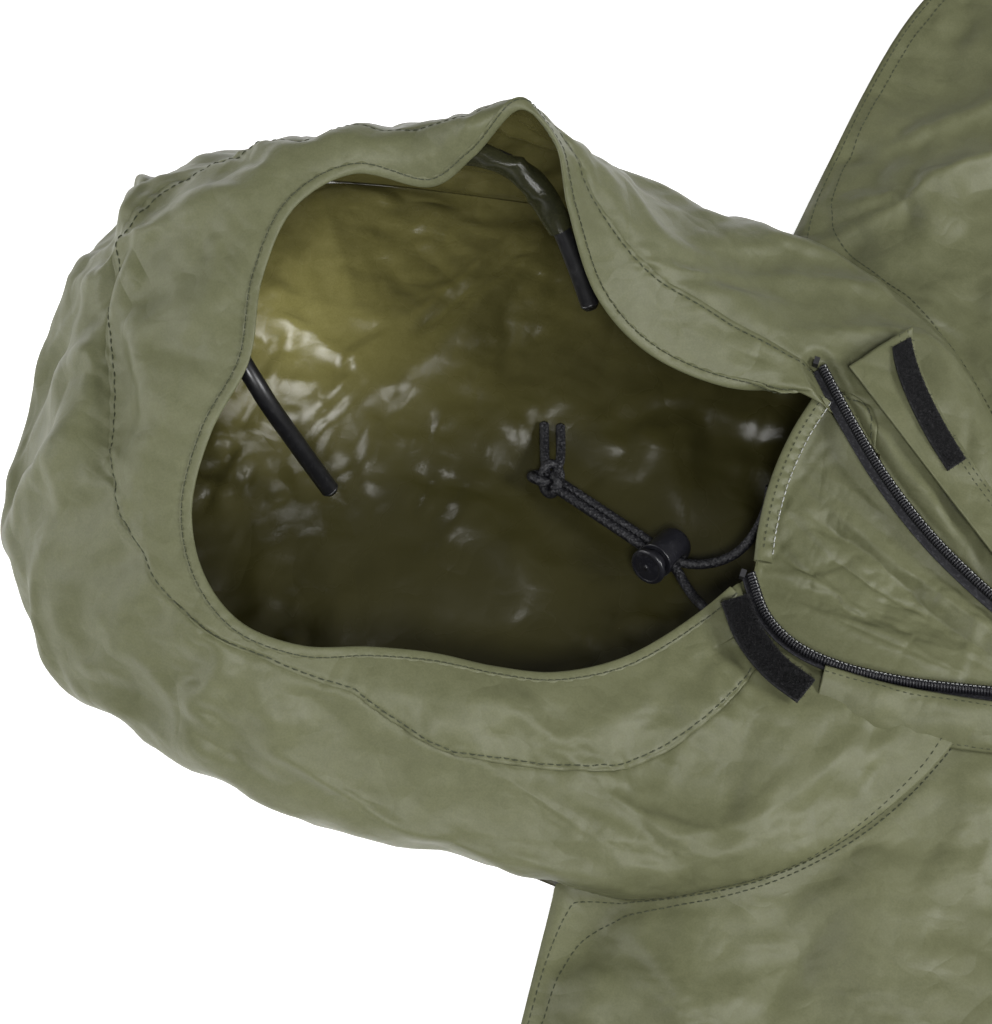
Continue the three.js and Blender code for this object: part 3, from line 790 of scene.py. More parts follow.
def simulated(grid, held, swell, frames=16, cap=9.0):
    """The grid after Blender's cloth: fabric longer by swell than its place buckles where it is free."""
    made = grid_object("cloth_at_work", grid)
    group = made.vertex_groups.new(name="held")
    levels = np.round(held.ravel() * HELD_LEVELS) / HELD_LEVELS
    for level in np.unique(levels[levels > 0]):
        group.add(np.flatnonzero(levels == level).tolist(), float(level), "REPLACE")
    cloth = made.modifiers.new("cloth", "CLOTH")
    cloth.point_cache.frame_start = 1
    cloth.point_cache.frame_end = frames
    cloth.collision_settings.use_collision = False
    cloth.settings.effector_weights.gravity = 0
    cloth.settings.vertex_group_mass = "held"
    cloth.settings.shrink_min = -swell
    for key, value in CLOTH_SETTINGS.items():
        setattr(cloth.settings, key, value)
    for at in range(1, frames + 1):
        scene.frame_set(at)
    found = made.evaluated_get(bpy.context.evaluated_depsgraph_get()).to_mesh()
    co = np.empty(len(found.vertices) * 3)
    found.vertices.foreach_get("co", co)
    moved = co.reshape(-1, 3) * 1000 - (NECK_X, 0, 0) - grid.reshape(-1, 3)
    bpy.data.objects.remove(made)
    scene.frame_set(1)
    moved = moved.reshape(grid.shape)
    # The slow part of the movement is taken away, so that the panel keeps its place and only buckles.
    moved = softened(moved, 1) - 0.9 * softened(moved, 14)
    size = np.linalg.norm(moved, axis=2, keepdims=True)
    return grid + moved * cap * np.tanh(size / cap) / np.maximum(size, 1e-6)


def ridge(height, away, width, fade):
    """Height of a fold: full on its line, and falling away on both sides of it."""
    return height * fade * np.exp(-((away / width) ** 1.15))


def fold(grid, start, end, width, height, bend):
    """Height of one long fold: from start to end, each (row share, column share), fading at both ends."""
    rows, columns = grid.shape[:2]

    def point(share):
        i, j = share[0] * (rows - 1), share[1] * (columns - 1)
        return grid[int(round(i)) % rows, int(round(j))]

    a, b = point(start), point(end)
    middle = point(((start[0] + end[0]) / 2, (start[1] + end[1]) / 2))
    middle = middle + unit(np.cross(b - a, UP)) * bend
    line = Curve([a, middle, b]).at(evenly(24))
    away = np.full(grid.shape[:2], 1e9)
    share = np.zeros(grid.shape[:2])
    for k, p in enumerate(line):
        d = np.linalg.norm(grid - p, axis=2)
        nearer = d < away
        away = np.where(nearer, d, away)
        share = np.where(nearer, k / 23, share)
    return ridge(height, away, width, np.sin(np.pi * np.clip(share * 0.9 + 0.05, 0, 1)) ** 0.7)


# ---- the zip's two lines ----

NEAR_TOP = [(39, -14, 48), (52, -31, 48), (68, -40, 47.5), (89, -43, 47), (120, -40, 46)]
FAR_TOP = [(39, 98, 55), (62, 75, 53), (83, 56, 51), (108, 38, 48), (131, 25, 46)]
coil_near = Curve([*NEAR_TOP, (165, -29, 44), (205, -18, 42.5), (SLIDER_X - 9, ZIP_Y - 2.8, ZIP_Z)])
coil_far = Curve([*FAR_TOP, (165, 10, 44), (205, -1, 42.5), (SLIDER_X - 9, ZIP_Y + 2.8, ZIP_Z)])
FABRIC_BACK = COIL / 2 + 1
EDGE_POINTS = 500


def zip_edge(sign):
    """The line along which fabric ends beside one half of the zip, from the face opening down."""
    coil = coil_near if sign < 0 else coil_far
    line = coil.at(evenly(EDGE_POINTS))
    back = unit(np.cross(UP, np.gradient(line, axis=0))) * sign
    return line + back * FABRIC_BACK


# ---- the hood ----

# Cells of the cloth that is simulated, and of the facing and the shell that are cut from it.
HOOD_ROWS = 300
HOOD_COLUMNS = 56
FACING_COLUMNS = 50
SHELL_COLUMNS = 80


def hood_grid():
    u, v = np.meshgrid(evenly(HOOD_ROWS), evenly(HOOD_COLUMNS), indexing="ij")
    grid = hood_surface(u, v)
    for sign, row, reach in ((-1, 0, 0.11), (1, -1, 0.045)):
        line = zip_edge(sign)
        past_seam = (line[:, 0] > neck_seam_x(line[:, 1]) - 2) & (np.arange(EDGE_POINTS) > 80)
        line = line[60 : np.argmax(past_seam)]
        edge = line[np.linspace(0, len(line) - 1, HOOD_COLUMNS).round().astype(int)]
        edge = edge + UP * np.linspace(0.5, -1.0, HOOD_COLUMNS)[:, None]
        edge[0] = grid[row, 0]
        away = u if sign < 0 else 1 - u
        grid = grid + (edge - grid[row]) * (1 - smooth(away, 0, reach))[..., None]
    return grid


def with_facing_line(grid):
    """The same surface with its columns spread again, so that one column is the facing's stitch line."""
    rows, columns = grid.shape[:2]
    share = facing_share(evenly(rows))[:, None]
    band = share * evenly(FACING_COLUMNS + 1)[None, :]
    rest = share + (1 - share) * evenly(SHELL_COLUMNS + 1)[None, 1:]
    v = np.concatenate([band, rest], 1) * (columns - 1)
    low = np.minimum(v.astype(int), columns - 2)
    part = (v - low)[..., None]
    row = np.arange(rows)[:, None]
    return grid[row, low] * (1 - part) + grid[row, low + 1] * part


# Each fold: start and end as shares of rows and columns, then width, height and bend in millimetres.
HOOD_FOLDS = [
    # near side, sweeping from the facing down towards the neck
    ((0.20, 0.30), (0.10, 0.75), 9, 5, 6),
    ((0.25, 0.45), (0.17, 0.95), 12, 6, 4),
    ((0.32, 0.35), (0.22, 0.80), 10, 5, -6),
    ((0.36, 0.45), (0.30, 0.95), 12, 6, 6),
    # head end
    ((0.44, 0.35), (0.38, 0.85), 12, 5, 5),
    ((0.50, 0.30), (0.47, 0.80), 9, 4, -5),
    ((0.54, 0.50), (0.60, 0.90), 10, 4, 4),
    # crown and far side
    ((0.58, 0.30), (0.52, 0.55), 8, 3, 4),
    ((0.84, 0.20), (0.90, 0.80), 9, 5, 6),
    ((0.90, 0.30), (0.95, 0.85), 9, 5, -5),
]


def pressed_under(grid, coil, gap=3.8, reach=5.0):
    """The same surface kept below a zip half that lies on it."""
    line = coil.at(np.linspace(0, 0.7, 120))
    apart = np.hypot(grid[..., :1] - line[:, 0], grid[..., 1:2] - line[:, 1])
    limit = line[apart.argmin(-1), 2] - gap + 1.3 * np.maximum(0, apart.min(-1) - reach)
    grid = grid.copy()
    grid[..., 2] = np.minimum(grid[..., 2], limit)
    return grid


def make_hood():
    grid = hood_grid()
    folds = sum(fold(grid, *each) for each in HOOD_FOLDS) + 1.2 * noise(grid, 22, 3)
    gone = gone_across(grid)
    free = smooth(gone, 2, 26) * smooth(gone[:, -1:] - gone, 0, 30)
    grid = simulated(raised(grid, folds * free), 1 - 0.97 * free, 0.035)
    grid = with_facing_line(upsampled(grid))
    gone = gone_across(grid)
    seam = gone - gone[:, FACING_COLUMNS : FACING_COLUMNS + 1]
    along = gone_along(grid)[:, FACING_COLUMNS][:, None]
    sweep = np.stack([along * 0.33 + 0 * gone, gone, 0 * gone], -1)
    far_side = smooth(evenly(len(grid)), 0.5, 0.62)[:, None]
    calm = mix(0.4, 1.0, smooth(seam, -6, 14)) * mix(1.0, 0.5, far_side)
    height = crumpled(grid, 100, 54, 0.7) + 3.0 * pleats(sweep, 36, 160) - 1.9
    height = height * calm * clear_of_sides(grid, 14, 12)
    ripple = np.sin(2 * np.pi * along / 11 + 4.0 * noise(grid, 30, 61))
    ripple = ripple * smooth(noise(grid, 50, 62), -0.3, 0.4)
    height += 0.7 * ripple * np.exp(-np.abs(seam) / 6) - 0.8 * np.exp(-((seam / 1.8) ** 2))
    grid = raised(grid, height)
    grid[..., 2] = np.maximum(grid[..., 2], BASE_TOP + 0.2)
    return pressed_under(pressed_under(grid, coil_far), coil_near)


hood = make_hood()
edge = FACING_COLUMNS
facing = hood[:, : edge + 2]
shell = hood[:, edge:]
facing = raised(facing, 0.5 * smooth(gone_across(facing), 20, 40))
shell = raised(shell, -0.5 * np.exp(-gone_across(shell) / 3))
panel("hood_facing", facing, "face_facing")
panel("hood_outer", shell, "hood_shell")
sew("facing_stitch", facing, [edge - 2], pitch=4.2, length=3.0, radius=0.36)
sew("ground_stitch", shell[:, : -2], [-3], pitch=4.0)


def folded_hem(name, nodes, path, outward, width, thick, sides=18, pucker=0.35):
    """A folded and sewn edge: a flattened loop of fabric whose round side lies on path.

    It gives back the way up and the way across at each point of the path, for the stitches.
    """
    path = np.asarray(path, float)
    tangent = unit(np.gradient(path, axis=0))
    flat = unit(outward - tangent * (outward * tangent).sum(1)[:, None])
    up = np.cross(tangent, flat)
    a = ring_angles(sides)
    across = (0.5 - 0.5 * np.cos(a)) * width - thick * 0.4
    above = np.sin(a) * thick / 2 * (0.55 + 0.45 * np.cos(a * 0.5) ** 2)
    wave = pucker * np.sin(2 * np.pi * gone_on(path) / 7.5 + 2 * noise(path, 30, 5))[:, None]
    above = above + wave * smooth(across, 1, width)
    grid = path[:, None] + flat[:, None] * across[:, None] + up[:, None] * above[..., None]
    grid[..., 2] = np.maximum(grid[..., 2], 0.05)
    made = grid_object(name, grid, round_columns=True)
    settle(made, "bag", "shell_fabric", SHELL, *nodes)
    return up, flat


def make_rim_hem():
    u = np.linspace(0.012, 0.985, 900)
    share = evenly(len(hood))
    line = read_off(u, share, hood[:, 0])
    outward = read_off(u, share, hood[:, 8] - hood[:, 0])
    up, flat = folded_hem("face_hem_folded", ["face_hem", "drawcord_in_hem"], line, outward, *FACE_HEM)
    for word, side in (("out", 1), ("in", -1)):
        stitches(f"face_hem_stitch_{word}", line + flat * 3.6 + up * side * 0.95, up * side, lift=0.0)


make_rim_hem()


# ---- the front panels ----


def coons(head, foot, side, middle):
    """A grid between four border lines in plan: rows from head to foot, columns from side to middle."""
    s = evenly(len(side))[:, None, None]
    t = evenly(len(head))[None, :, None]
    across = (1 - t) * side[:, None] + t * middle[:, None]
    down = (1 - s) * head[None] + s * foot[None]
    corners = (1 - s) * ((1 - t) * head[0] + t * head[-1]) + s * ((1 - t) * foot[0] + t * foot[-1])
    return across + down - corners


def relaxed(grid, turns=400):
    """A plan grid with its inner lines evened out, so that they keep apart and never cross."""
    g = grid.copy()
    for _ in range(turns):
        east, west = g[1:-1, 2:], g[1:-1, :-2]
        south, north = g[2:, 1:-1], g[:-2, 1:-1]
        across, along = (east - west) / 2, (south - north) / 2
        a = (along**2).sum(-1, keepdims=True)
        b = (across * along).sum(-1, keepdims=True)
        c = (across**2).sum(-1, keepdims=True)
        twist = g[2:, 2:] - g[2:, :-2] - g[:-2, 2:] + g[:-2, :-2]
        g[1:-1, 1:-1] = (a * (east + west) + c * (south + north) - b * twist / 2) / (2 * (a + c))
    return g


# The front's edge laps over the hood's at the neck seam.
LAP_DROP = NECK_DROP - 7
LAP_HALF = NECK_HALF - 2


def lap_x(y):
    return LAP_DROP * np.sqrt(np.maximum(0, 1 - (y / LAP_HALF) ** 2))


def half_front(sign, rows=190, columns=96):
    """One half of the front in plan, from its side seam to the zip."""
    edge = zip_edge(sign)[:, :2]
    beyond = (edge[:, 0] > lap_x(edge[:, 1])) & (np.arange(EDGE_POINTS) > 60)
    edge = edge[np.argmax(beyond) :]
    edge = edge[edge[:, 0] < SLIDER_X - 16]
    slot = COIL + FABRIC_BACK
    straight = [
        (SLIDER_X, ZIP_Y + sign * slot),
        (ZIP_END_X, ZIP_Y + sign * slot),
        (ZIP_END_X + 12, ZIP_Y + sign * 0.5),
        (float(foot_x(0)), ZIP_Y + sign * 0.5),
    ]
    middle = np.vstack([edge, straight])
    out = np.linspace(SHOULDER_HALF, LAP_HALF, 120)
    shoulder = np.stack([shoulder_x(out), sign * out], 1)
    end_angle = math.asin(abs(middle[0, 1]) / LAP_HALF) * (1 if middle[0, 1] * sign > 0 else -1)
    angle = np.linspace(math.pi / 2, end_angle, 200)
    arc = np.stack([LAP_DROP * np.cos(angle), sign * LAP_HALF * np.sin(angle)], 1)
    head = np.vstack([shoulder, arc[1:-1], middle[:1]])
    foot_y = np.linspace(sign * FOOT_HALF, middle[-1, 1], 60)
    foot = np.stack([foot_x(foot_y), foot_y], 1)
    side = [(shoulder_x(SHOULDER_HALF), sign * SHOULDER_HALF), (foot_x(FOOT_HALF), sign * FOOT_HALF)]
    tau = evenly(rows)
    share = 0.35 * tau + 0.65 * tau**2
    t = evenly(columns)
    plan = coons(resampled(head, t), resampled(foot, t), resampled(side, share), resampled(middle, share))
    plan = relaxed(plan)
    z = front_height(plan[..., 0], plan[..., 1]) + 0.8
    return np.concatenate([plan, z[..., None]], 2)


def plan_folds(grid, folds):
    """Long folds given by their plan: start, end, width, height."""
    total = np.zeros(grid.shape[:2])
    for (x0, y0), (x1, y1), width, height in folds:
        a, b = np.array([x0, y0], float), np.array([x1, y1], float)
        run = b - a
        size = np.linalg.norm(run)
        share = ((grid[..., :2] - a) @ run) / (run @ run)
        sway = 0.12 * size * noise(grid * (1, 1, 0), size * 0.6, int(abs(x0 + y1)))
        away = np.abs((grid[..., 0] - a[0]) * run[1] - (grid[..., 1] - a[1]) * run[0]) / size
        away = np.abs(away + sway * 0.5)
        total += ridge(height, away, width, np.sin(np.pi * np.clip(share, 0, 1)) ** 0.6)
    return total


# Each fold in plan: start, end, width, height.
NEAR_FOLDS = [
    ((30, -190), (150, -260), 14, 13),
    ((20, -215), (110, -330), 12, 10),
    ((160, -110), (330, -150), 14, 8),
    ((190, -60), (340, -120), 12, 7),
    ((60, -300), (250, -360), 16, 10),
    ((120, -175), (320, -230), 18, 10),
    ((300, -120), (760, -200), 26, 12),
    ((420, -230), (1100, -250), 30, 12),
    ((700, -90), (1500, -150), 30, 12),
    ((1000, -180), (1750, -240), 28, 12),
    ((1300, -80), (1900, -60), 26, 10),
]
FAR_FOLDS = [
    ((10, 190), (130, 300), 16, 18),
    ((20, 240), (160, 380), 16, 16),
    ((70, 170), (260, 230), 16, 12),
    ((120, 120), (330, 130), 14, 9),
    ((50, 330), (280, 350), 18, 10),
    ((260, 60), (700, 110), 24, 10),
    ((380, 220), (1000, 260), 30, 13),
    ((640, 120), (1400, 160), 30, 12),
    ((950, 240), (1700, 210), 28, 12),
    ((1350, 60), (1900, 90), 26, 10),
]


def make_front(sign, folds):
    grid = half_front(sign)
    if sign > 0:
        grid = grid[:, ::-1]
    gone, down = gone_across(grid), gone_along(grid)
    left = gone[:, -1:] - gone
    side, middle = (gone, left) if sign < 0 else (left, gone)
    free = smooth(side, 2, 40) * smooth(middle, 0, 24) * smooth(down, 0, 26) * smooth(down[-1:] - down, 0, 60)
    height = plan_folds(grid, folds) + 2.5 * noise(grid, 80, 8)
    grid = grid + UP * (height * free)[..., None]
    grid = upsampled(simulated(grid, 1 - 0.97 * free, 0.03, frames=14, cap=10.0))
    free = clear_of_sides(grid, 12, 12) * smooth(gone_along(grid), 0, 10)
    grid = raised(grid, crumpled(grid, 300 + sign * 50, 58, 0.75) * free)
    grid[..., 2] = np.maximum(grid[..., 2], GROUND)
    return grid


front_near = make_front(-1, NEAR_FOLDS)
front_far = make_front(1, FAR_FOLDS)
panel("front_near_half", front_near, "front_panel")
panel("front_far_half", front_far)
for word, grid in (("near", front_near), ("far", front_far)):
    n = normals_of(grid)
    for number, row in (("one", 1), ("two", 3)):
        stitches(f"neck_stitch_{word}_{number}", grid[row], n[row], pitch=3.6, length=2.6, radius=0.3)


# ---- base: the hood's floor and the groundsheet ----


FLOOR_FOLDS = [
    ((-120, 150), (-196, -10), 13, 12),
    ((-240, 130), (-190, 60), 12, 7),
    ((-255, 60), (-150, 30), 10, 5),
    ((-178, 49), (-150, -40), 8, 5),
    ((-270, -40), (-200, -110), 14, 8),
    ((-110, 60), (-60, -60), 16, 5),
    ((-20, 60), (20, -20), 12, 6),
]


def make_floor():
    """The groundsheet inside the hood, out to the seam: glossy and softly wrinkled."""
    down, over = evenly(150), evenly(130)
    side, crown, far = (
        resampled(seam_curve.at(np.linspace(start, end, 200))[:, :2], shares)
        for start, end, shares in ((0.37, 0.155, down), (0.37, 0.62, over), (0.62, 0.86, down))
    )
    neck = resampled([side[-1], (60, side[-1][1]), (60, far[-1][1]), far[-1]], over)
    centre = np.array([-120.0, 0.0])
    grid = centre + (coons(crown, neck, side, far) - centre) * 1.012
    grid = np.concatenate([grid, np.full((*grid.shape[:2], 1), BASE_TOP - 0.6)], 2)
    inside = clear_of_sides(grid, 26, 26) * smooth(gone_along(grid), 0, 26)
    lift = 2.0 + 3.0 * noise(grid, 90, 15) + 6.0 * pleats(grid, 95, 17) + crumpled(grid, 500, 34)
    lift += plan_folds(grid, FLOOR_FOLDS)
    way = (knot_at - lock_at)[:2]
    share = np.clip((grid[..., :2] - lock_at[:2]) @ way / (way @ way), 0, 1)[..., None]
    apart = np.linalg.norm(grid[..., :2] - lock_at[:2] - way * share, axis=-1)
    pressed = mix(0.45, 0.75, share[..., 0]) * np.exp(-((apart / 34) ** 4))
    grid[..., 2] += np.maximum(np.minimum(lift, 16) * (1 - pressed), 0) * inside
    return grid


def groundsheet_grid():
    rows, columns = 160, 120
    s = (0.4 * evenly(rows) + 0.6 * evenly(rows) ** 2)[:, None]
    t = np.linspace(-1, 1, columns)[None, :]
    y = t * mix(SHOULDER_HALF, FOOT_HALF, s)
    head = np.where(np.abs(y) < NECK_HALF, 0.0, shoulder_x(y)) + 0 * s
    x = mix(head, foot_x(y), s)
    grid = np.stack([x, y, np.full_like(x, 0.9)], 2)
    edge = smooth(1 - np.abs(t), 0, 0.06) * smooth(s, 0, 0.02)
    grid[..., 2] += edge * np.maximum(0, 0.6 * noise(grid, 60, 21) + 0.5)
    return grid


for name, grid, thickness, nodes in (
    ("hood_floor", make_floor(), 0.8, ["base_panel"]),
    ("groundsheet", groundsheet_grid(), 1.4, []),
):
    settle(fabric(name, grid, thickness, upward=True), "bag", "base_fabric", (INSIDE, GROUNDSHEET), *nodes)


def side_band(word, sign):
    y = sign * np.linspace(SHOULDER_HALF, FOOT_HALF, 500)
    x = mix(shoulder_x(y), foot_x(y), evenly(500))
    line = np.stack([x, y, np.full(500, 1.9)], 1)
    inward = np.broadcast_to(np.array([0, -sign, 0.05]), line.shape)
    name = f"side_binding_{word}"
    up, flat = folded_hem(f"{name}_folded", [name], line, inward, *SIDE_BINDING, sides=14)
    up = up * np.sign(up[:, 2:3])
    stitches(f"side_stitch_{word}", line + flat * 6.5, up, pitch=4.5, length=3.2, lift=1.1)


for word, sign in (("near", -1), ("far", 1)):
    side_band(word, sign)


def foot_grid():
    y = np.linspace(-0.985, 0.985, 160)[:, None] * FOOT_HALF
    x = foot_x(y) + 1.6 + 0 * y
    top = front_height(foot_x(y) - 2, y) + 1.6
    v = evenly(14)[None, :]
    z = mix(0.6, top, v)
    bulge = 1.6 * np.sin(np.pi * v) * (1 + 0.6 * noise(np.stack([y, y * 0, y * 0], 2), 30, 31))
    return np.stack([x + bulge, y + 0 * v, z], 2)


panel("foot_end", foot_grid(), "foot_panel", thickness=1.2)


# ---- throat: gusset and its hem ----

gusset_top = Curve([(42, 84, 53), (37, 62, 50), (35, 36, 48.5), (37, 10, 47), (40, -6, 46.5)])


GUSSET_FOLDS = [
    ((48, 50), (190, -6), 6, 4),
    ((46, 30), (170, -14), 7, -4),
    ((48, 8), (120, -18), 6, 4),
    ((60, -16), (150, -24), 5, 3),
    ((52, 66), (110, 28), 5, -3),
]


def gusset_grid(rows=150, columns=90):
    u, v = np.meshgrid(evenly(rows), evenly(columns), indexing="ij")
    near, far = coil_near.at(mix(0.02, 0.86, u)), coil_far.at(mix(0.02, 0.86, u))
    top = gusset_top.at(1 - v)
    p = mix(near, far, v[..., None])
    p[..., 2] -= 8 + 10 * np.sin(np.pi * v) * np.sin(np.pi * np.minimum(1, u + 0.25))
    head = 1 - smooth(u, 0, 0.2)
    p[..., 0] = mix(p[..., 0], top[..., 0] + 1, head)
    p[..., 2] = mix(p[..., 2], top[..., 2] - 1.5, 1 - smooth(u, 0, 0.1))
    return p


def make_gusset():
    grid = gusset_grid()
    v = evenly(grid.shape[1])[None, :]
    free = smooth(gone_along(grid), 2, 16) * np.sin(np.pi * v) ** 0.5
    lift = plan_folds(grid, GUSSET_FOLDS) + 1.5 * noise(grid, 40, 43)
    grid = simulated(raised(grid, lift * free), 1 - 0.95 * free, 0.04, frames=12, cap=6.0)
    return raised(grid, crumpled(grid * (0.5, 1, 1), 700, 26, 0.8) * free)


panel("throat_gusset_panel", make_gusset(), "throat_gusset")


def make_gusset_hem():
    line = gusset_top.along(220)
    outward = np.broadcast_to(np.array([1, 0, -0.1]), line.shape)
    up, flat = folded_hem("gusset_hem_folded", ["gusset_hem"], line, outward, *GUSSET_HEM, pucker=0.9)
    up = up * np.sign(up[:, 2:3])
    for k, away, lift, thread in ((0, 2.0, 2.0, STITCH), (1, 6.8, 1.4, PALE_THREAD)):
        stitches(f"gusset_hem_stitch_{k}", line + flat * away, up, lift=lift, materials=thread)


make_gusset_hem()


# ---- zip ----


def coil_path(line, pitch=1.45, wide=2.05, high=1.75, turn_points=10):
    """The helix of a zip's coil round a line."""
    curve = Curve(line)
    length = length_of(curve.at(evenly(400)))
    count = int(length / pitch * turn_points)
    middle = curve.along(count)
    tangent = unit(np.gradient(middle, axis=0))
    side = unit(np.cross(UP, tangent))
    up = np.cross(tangent, side)
    angle = 2 * np.pi * np.arange(count)[:, None] / turn_points
    return middle + side * np.cos(angle) * wide + up * np.sin(angle) * high, middle, side, up


def zip_half(word, line, sign, node, tape_node, open_tape=True):
    helix, middle, side, up = coil_path(line)
    settle(tube_object(f"{word}_teeth", helix, 0.62, 6), "bag", "zip_coil", ZIP_PLASTIC, *node)
    settle(tube_object(f"{word}_core", middle[::8], 1.25, 8), "bag", "zip_coil", BLACK_TAPE)
    across = np.linspace(*((-1.0, 4.5) if sign < 0 else (-5.5, 2.0)), 12)[None, :, None] * sign
    curl = np.cos(evenly(12) * np.pi * 0.7 * open_tape)[None, :, None]
    tape = middle[::6, None] + side[::6, None] * across - up[::6, None] * (1.2 + 1.6 * curl)
    made = fabric(f"{word}_tape", tape if sign < 0 else tape[:, ::-1], 0.6)
    settle(made, "bag", "zip_tape", BLACK_TAPE, *tape_node)
    sewn = {"pitch": 2.1, "length": 1.5, "radius": 0.2, "lift": 0.6, "slot": "zip_tape"}
    for k, off, thread in ((0, -0.7, BLACK_TAPE), (1, 0.9, PALE_THREAD)):
        on = middle[::3] + side[::3] * off * 1.2 + up[::3] * 1.2
        stitches(f"{word}_thread_{k}", on, up[::3], materials=thread, **sewn)


zip_half("zip_near", coil_near.p, -1, ["zip_coil_near"], ["zip_tape_near"])
zip_half("zip_far", coil_far.p, 1, ["zip_coil_far"], ["zip_tape_far"])
closed_start, closed_end = SLIDER_X + 11, ZIP_END_X - 6
for word, sign, nodes, tapes in (
    ("zip_shut_near", -1, ["zip_coil_closed"], ["zip_tape_closed"]),
    ("zip_shut_far", 1, [], []),
):
    y = ZIP_Y + sign * 1.75
    line = [(mix(closed_start, closed_end, t), y, ZIP_Z) for t in (0, 0.33, 0.66, 1)]
    zip_half(word, line, sign, nodes, tapes, open_tape=False)
for name in ("zip_top_stop_near", "zip_top_stop_far", "zip_bottom_stop", "zip_slider", "zip_pull"):
    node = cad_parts[name]
    dress(node, "zip_metal", ZIP_METAL)
    bevel = node.modifiers.new("bevel", "BEVEL")
    bevel.width = 0.0003
    bevel.segments = 3
    bevel.limit_method = "ANGLE"


# ---- placket, flap and touch tapes ----

PLACKET_TOP = [(86, -52, 50.5), (115, -50, 49), (150, -44, 47.4)]
PLACKET_ROUTE = [*PLACKET_TOP, (185, -36, 46), (216, -28, 45), (240, -27, 44.6)]


def strip_grid(line, start, end, columns, base, crown=0.0, power=1.0):
    """A strip beside a line, crowned in its middle: from start to end across it, left of its run positive."""
    side = unit(np.cross(UP, np.gradient(line, axis=0)))
    across = np.linspace(start, end, columns)[None, :, None]
    lifted = np.zeros((len(line), columns)) + base + crown * np.sin(np.pi * evenly(columns)) ** power
    return line[:, None] + side[:, None] * across + UP * lifted[..., None]


def make_placket():
    line = Curve(PLACKET_ROUTE).along(200)
    grid = strip_grid(line, -17, 5, 26, 1.0, 2.2, 0.6)
    outer = (1 - evenly(26)[None, :]) ** 2
    low = np.minimum(grid[..., 2], front_height(grid[..., 0], grid[..., 1]) + 3)
    grid[..., 2] = mix(grid[..., 2], low, outer)
    grid = raised(grid, (crumpled(grid, 800, 24) + 0.8 * noise(grid, 22, 81)) * clear_of_sides(grid, 5, 5))
    panel("zip_placket_band", grid, "zip_placket", thickness=1.0)
    sew("placket_stitch", grid, [2, -4], pitch=3.4)


make_placket()


def fuzz(name, grid, per_point, size, body, seed, hooked=False):
    """Many short bent hairs standing on a grid."""
    rng = np.random.default_rng(seed)
    n = normals_of(grid)
    spots = [(i, j) for i in range(1, grid.shape[0] - 1) for j in range(1, grid.shape[1] - 1)]
    paths = []
    for i, j in spots:
        for _ in range(per_point):
            a, b = rng.uniform(-0.5, 0.5, 2)
            root = grid[i, j] + a * (grid[i + 1, j] - grid[i, j]) + b * (grid[i, j + 1] - grid[i, j])
            lean = rng.normal(0, 0.5, 3)
            top = root + (n[i, j] + lean * 0.5) * size
            tip = top + (lean - n[i, j] * (0.9 if hooked else 0.2)) * size * 0.6
            paths.append(np.array([root - n[i, j] * 0.2, mix(root, top, 0.6), top, tip]))
    return settle(many_tubes(name, paths, 0.11, 3), body, "touch_strip", TOUCH)


loop_line = Curve([(36, -31, 54.6), (48, -46, 54.4), (64, -57, 54), (81, -63, 53.4)])
loop_grid = strip_grid(loop_line.along(60), -7, 7, 16, 1.0)
settle(fabric("loop_strip_tape", loop_grid, 1.6), "bag", "touch_strip", TOUCH, "loop_strip")
fuzz("loop_strip_pile", loop_grid + normals_of(loop_grid) * 0.8, 4, 1.5, "bag", 5)

# The two ends of the flap's seam.
FLAP_HEAD = np.array([51, 99, 62.5])
FLAP_FOOT = np.array([170, 14, 51.0])


def flap_grid(rows=110, columns=36, start=0.0, end=1.0):
    u = np.linspace(start, end, rows)[:, None]
    v = evenly(columns)[None, :]
    along = unit(FLAP_FOOT - FLAP_HEAD)
    across = unit(np.cross(UP, along) * (1, 1, 0))
    width = 20 + 20 * np.exp(-5.2 * u)
    root = FLAP_HEAD + (FLAP_FOOT - FLAP_HEAD) * u[..., None]
    grid = root + across * (0.5 + v * (width - 0.5))[..., None]
    lift = -0.9 - 2.0 * v + 2.0 * np.sin(np.pi * v) * np.sin(2.2 * np.pi * u + 0.6)
    return grid + UP * lift[..., None]


def hook_grid():
    """The hook strip's line of the flap: it follows the free edge."""
    whole = flap_grid(70, 90, 0.03, 0.47)
    width = gone_across(whole)[:, -1]
    return np.array([
        read_off(np.linspace(w - 14, w - 2.5, 14), np.linspace(0, w, len(line)), line)
        for line, w in zip(whole, width)
    ])


def make_flap():
    grid = flap_grid()
    grid = raised(grid, crumpled(grid, 900, 26, 0.7) * smooth(gone_across(grid), 0, 8))
    piece = fabric("storm_flap_panel", grid, 1.1)
    settle(piece, "flap", "shell_fabric", (SHELL, INSIDE), "storm_flap")
    rows = sew("flap_stitch", grid, [-4, -9], body="flap", pitch=3.2)
    tape = hook_grid()
    tape = tape + normals_of(tape) * 1.6
    strip = settle(fabric("hook_strip_tape", tape, 1.5), "flap", "touch_strip", TOUCH, "hook_strip")
    hooks = fuzz("hook_strip_hooks", tape + normals_of(tape) * 0.75, 3, 1.2, "flap", 6, True)


make_flap()


# ---- neck seams, seam tape, stay ----

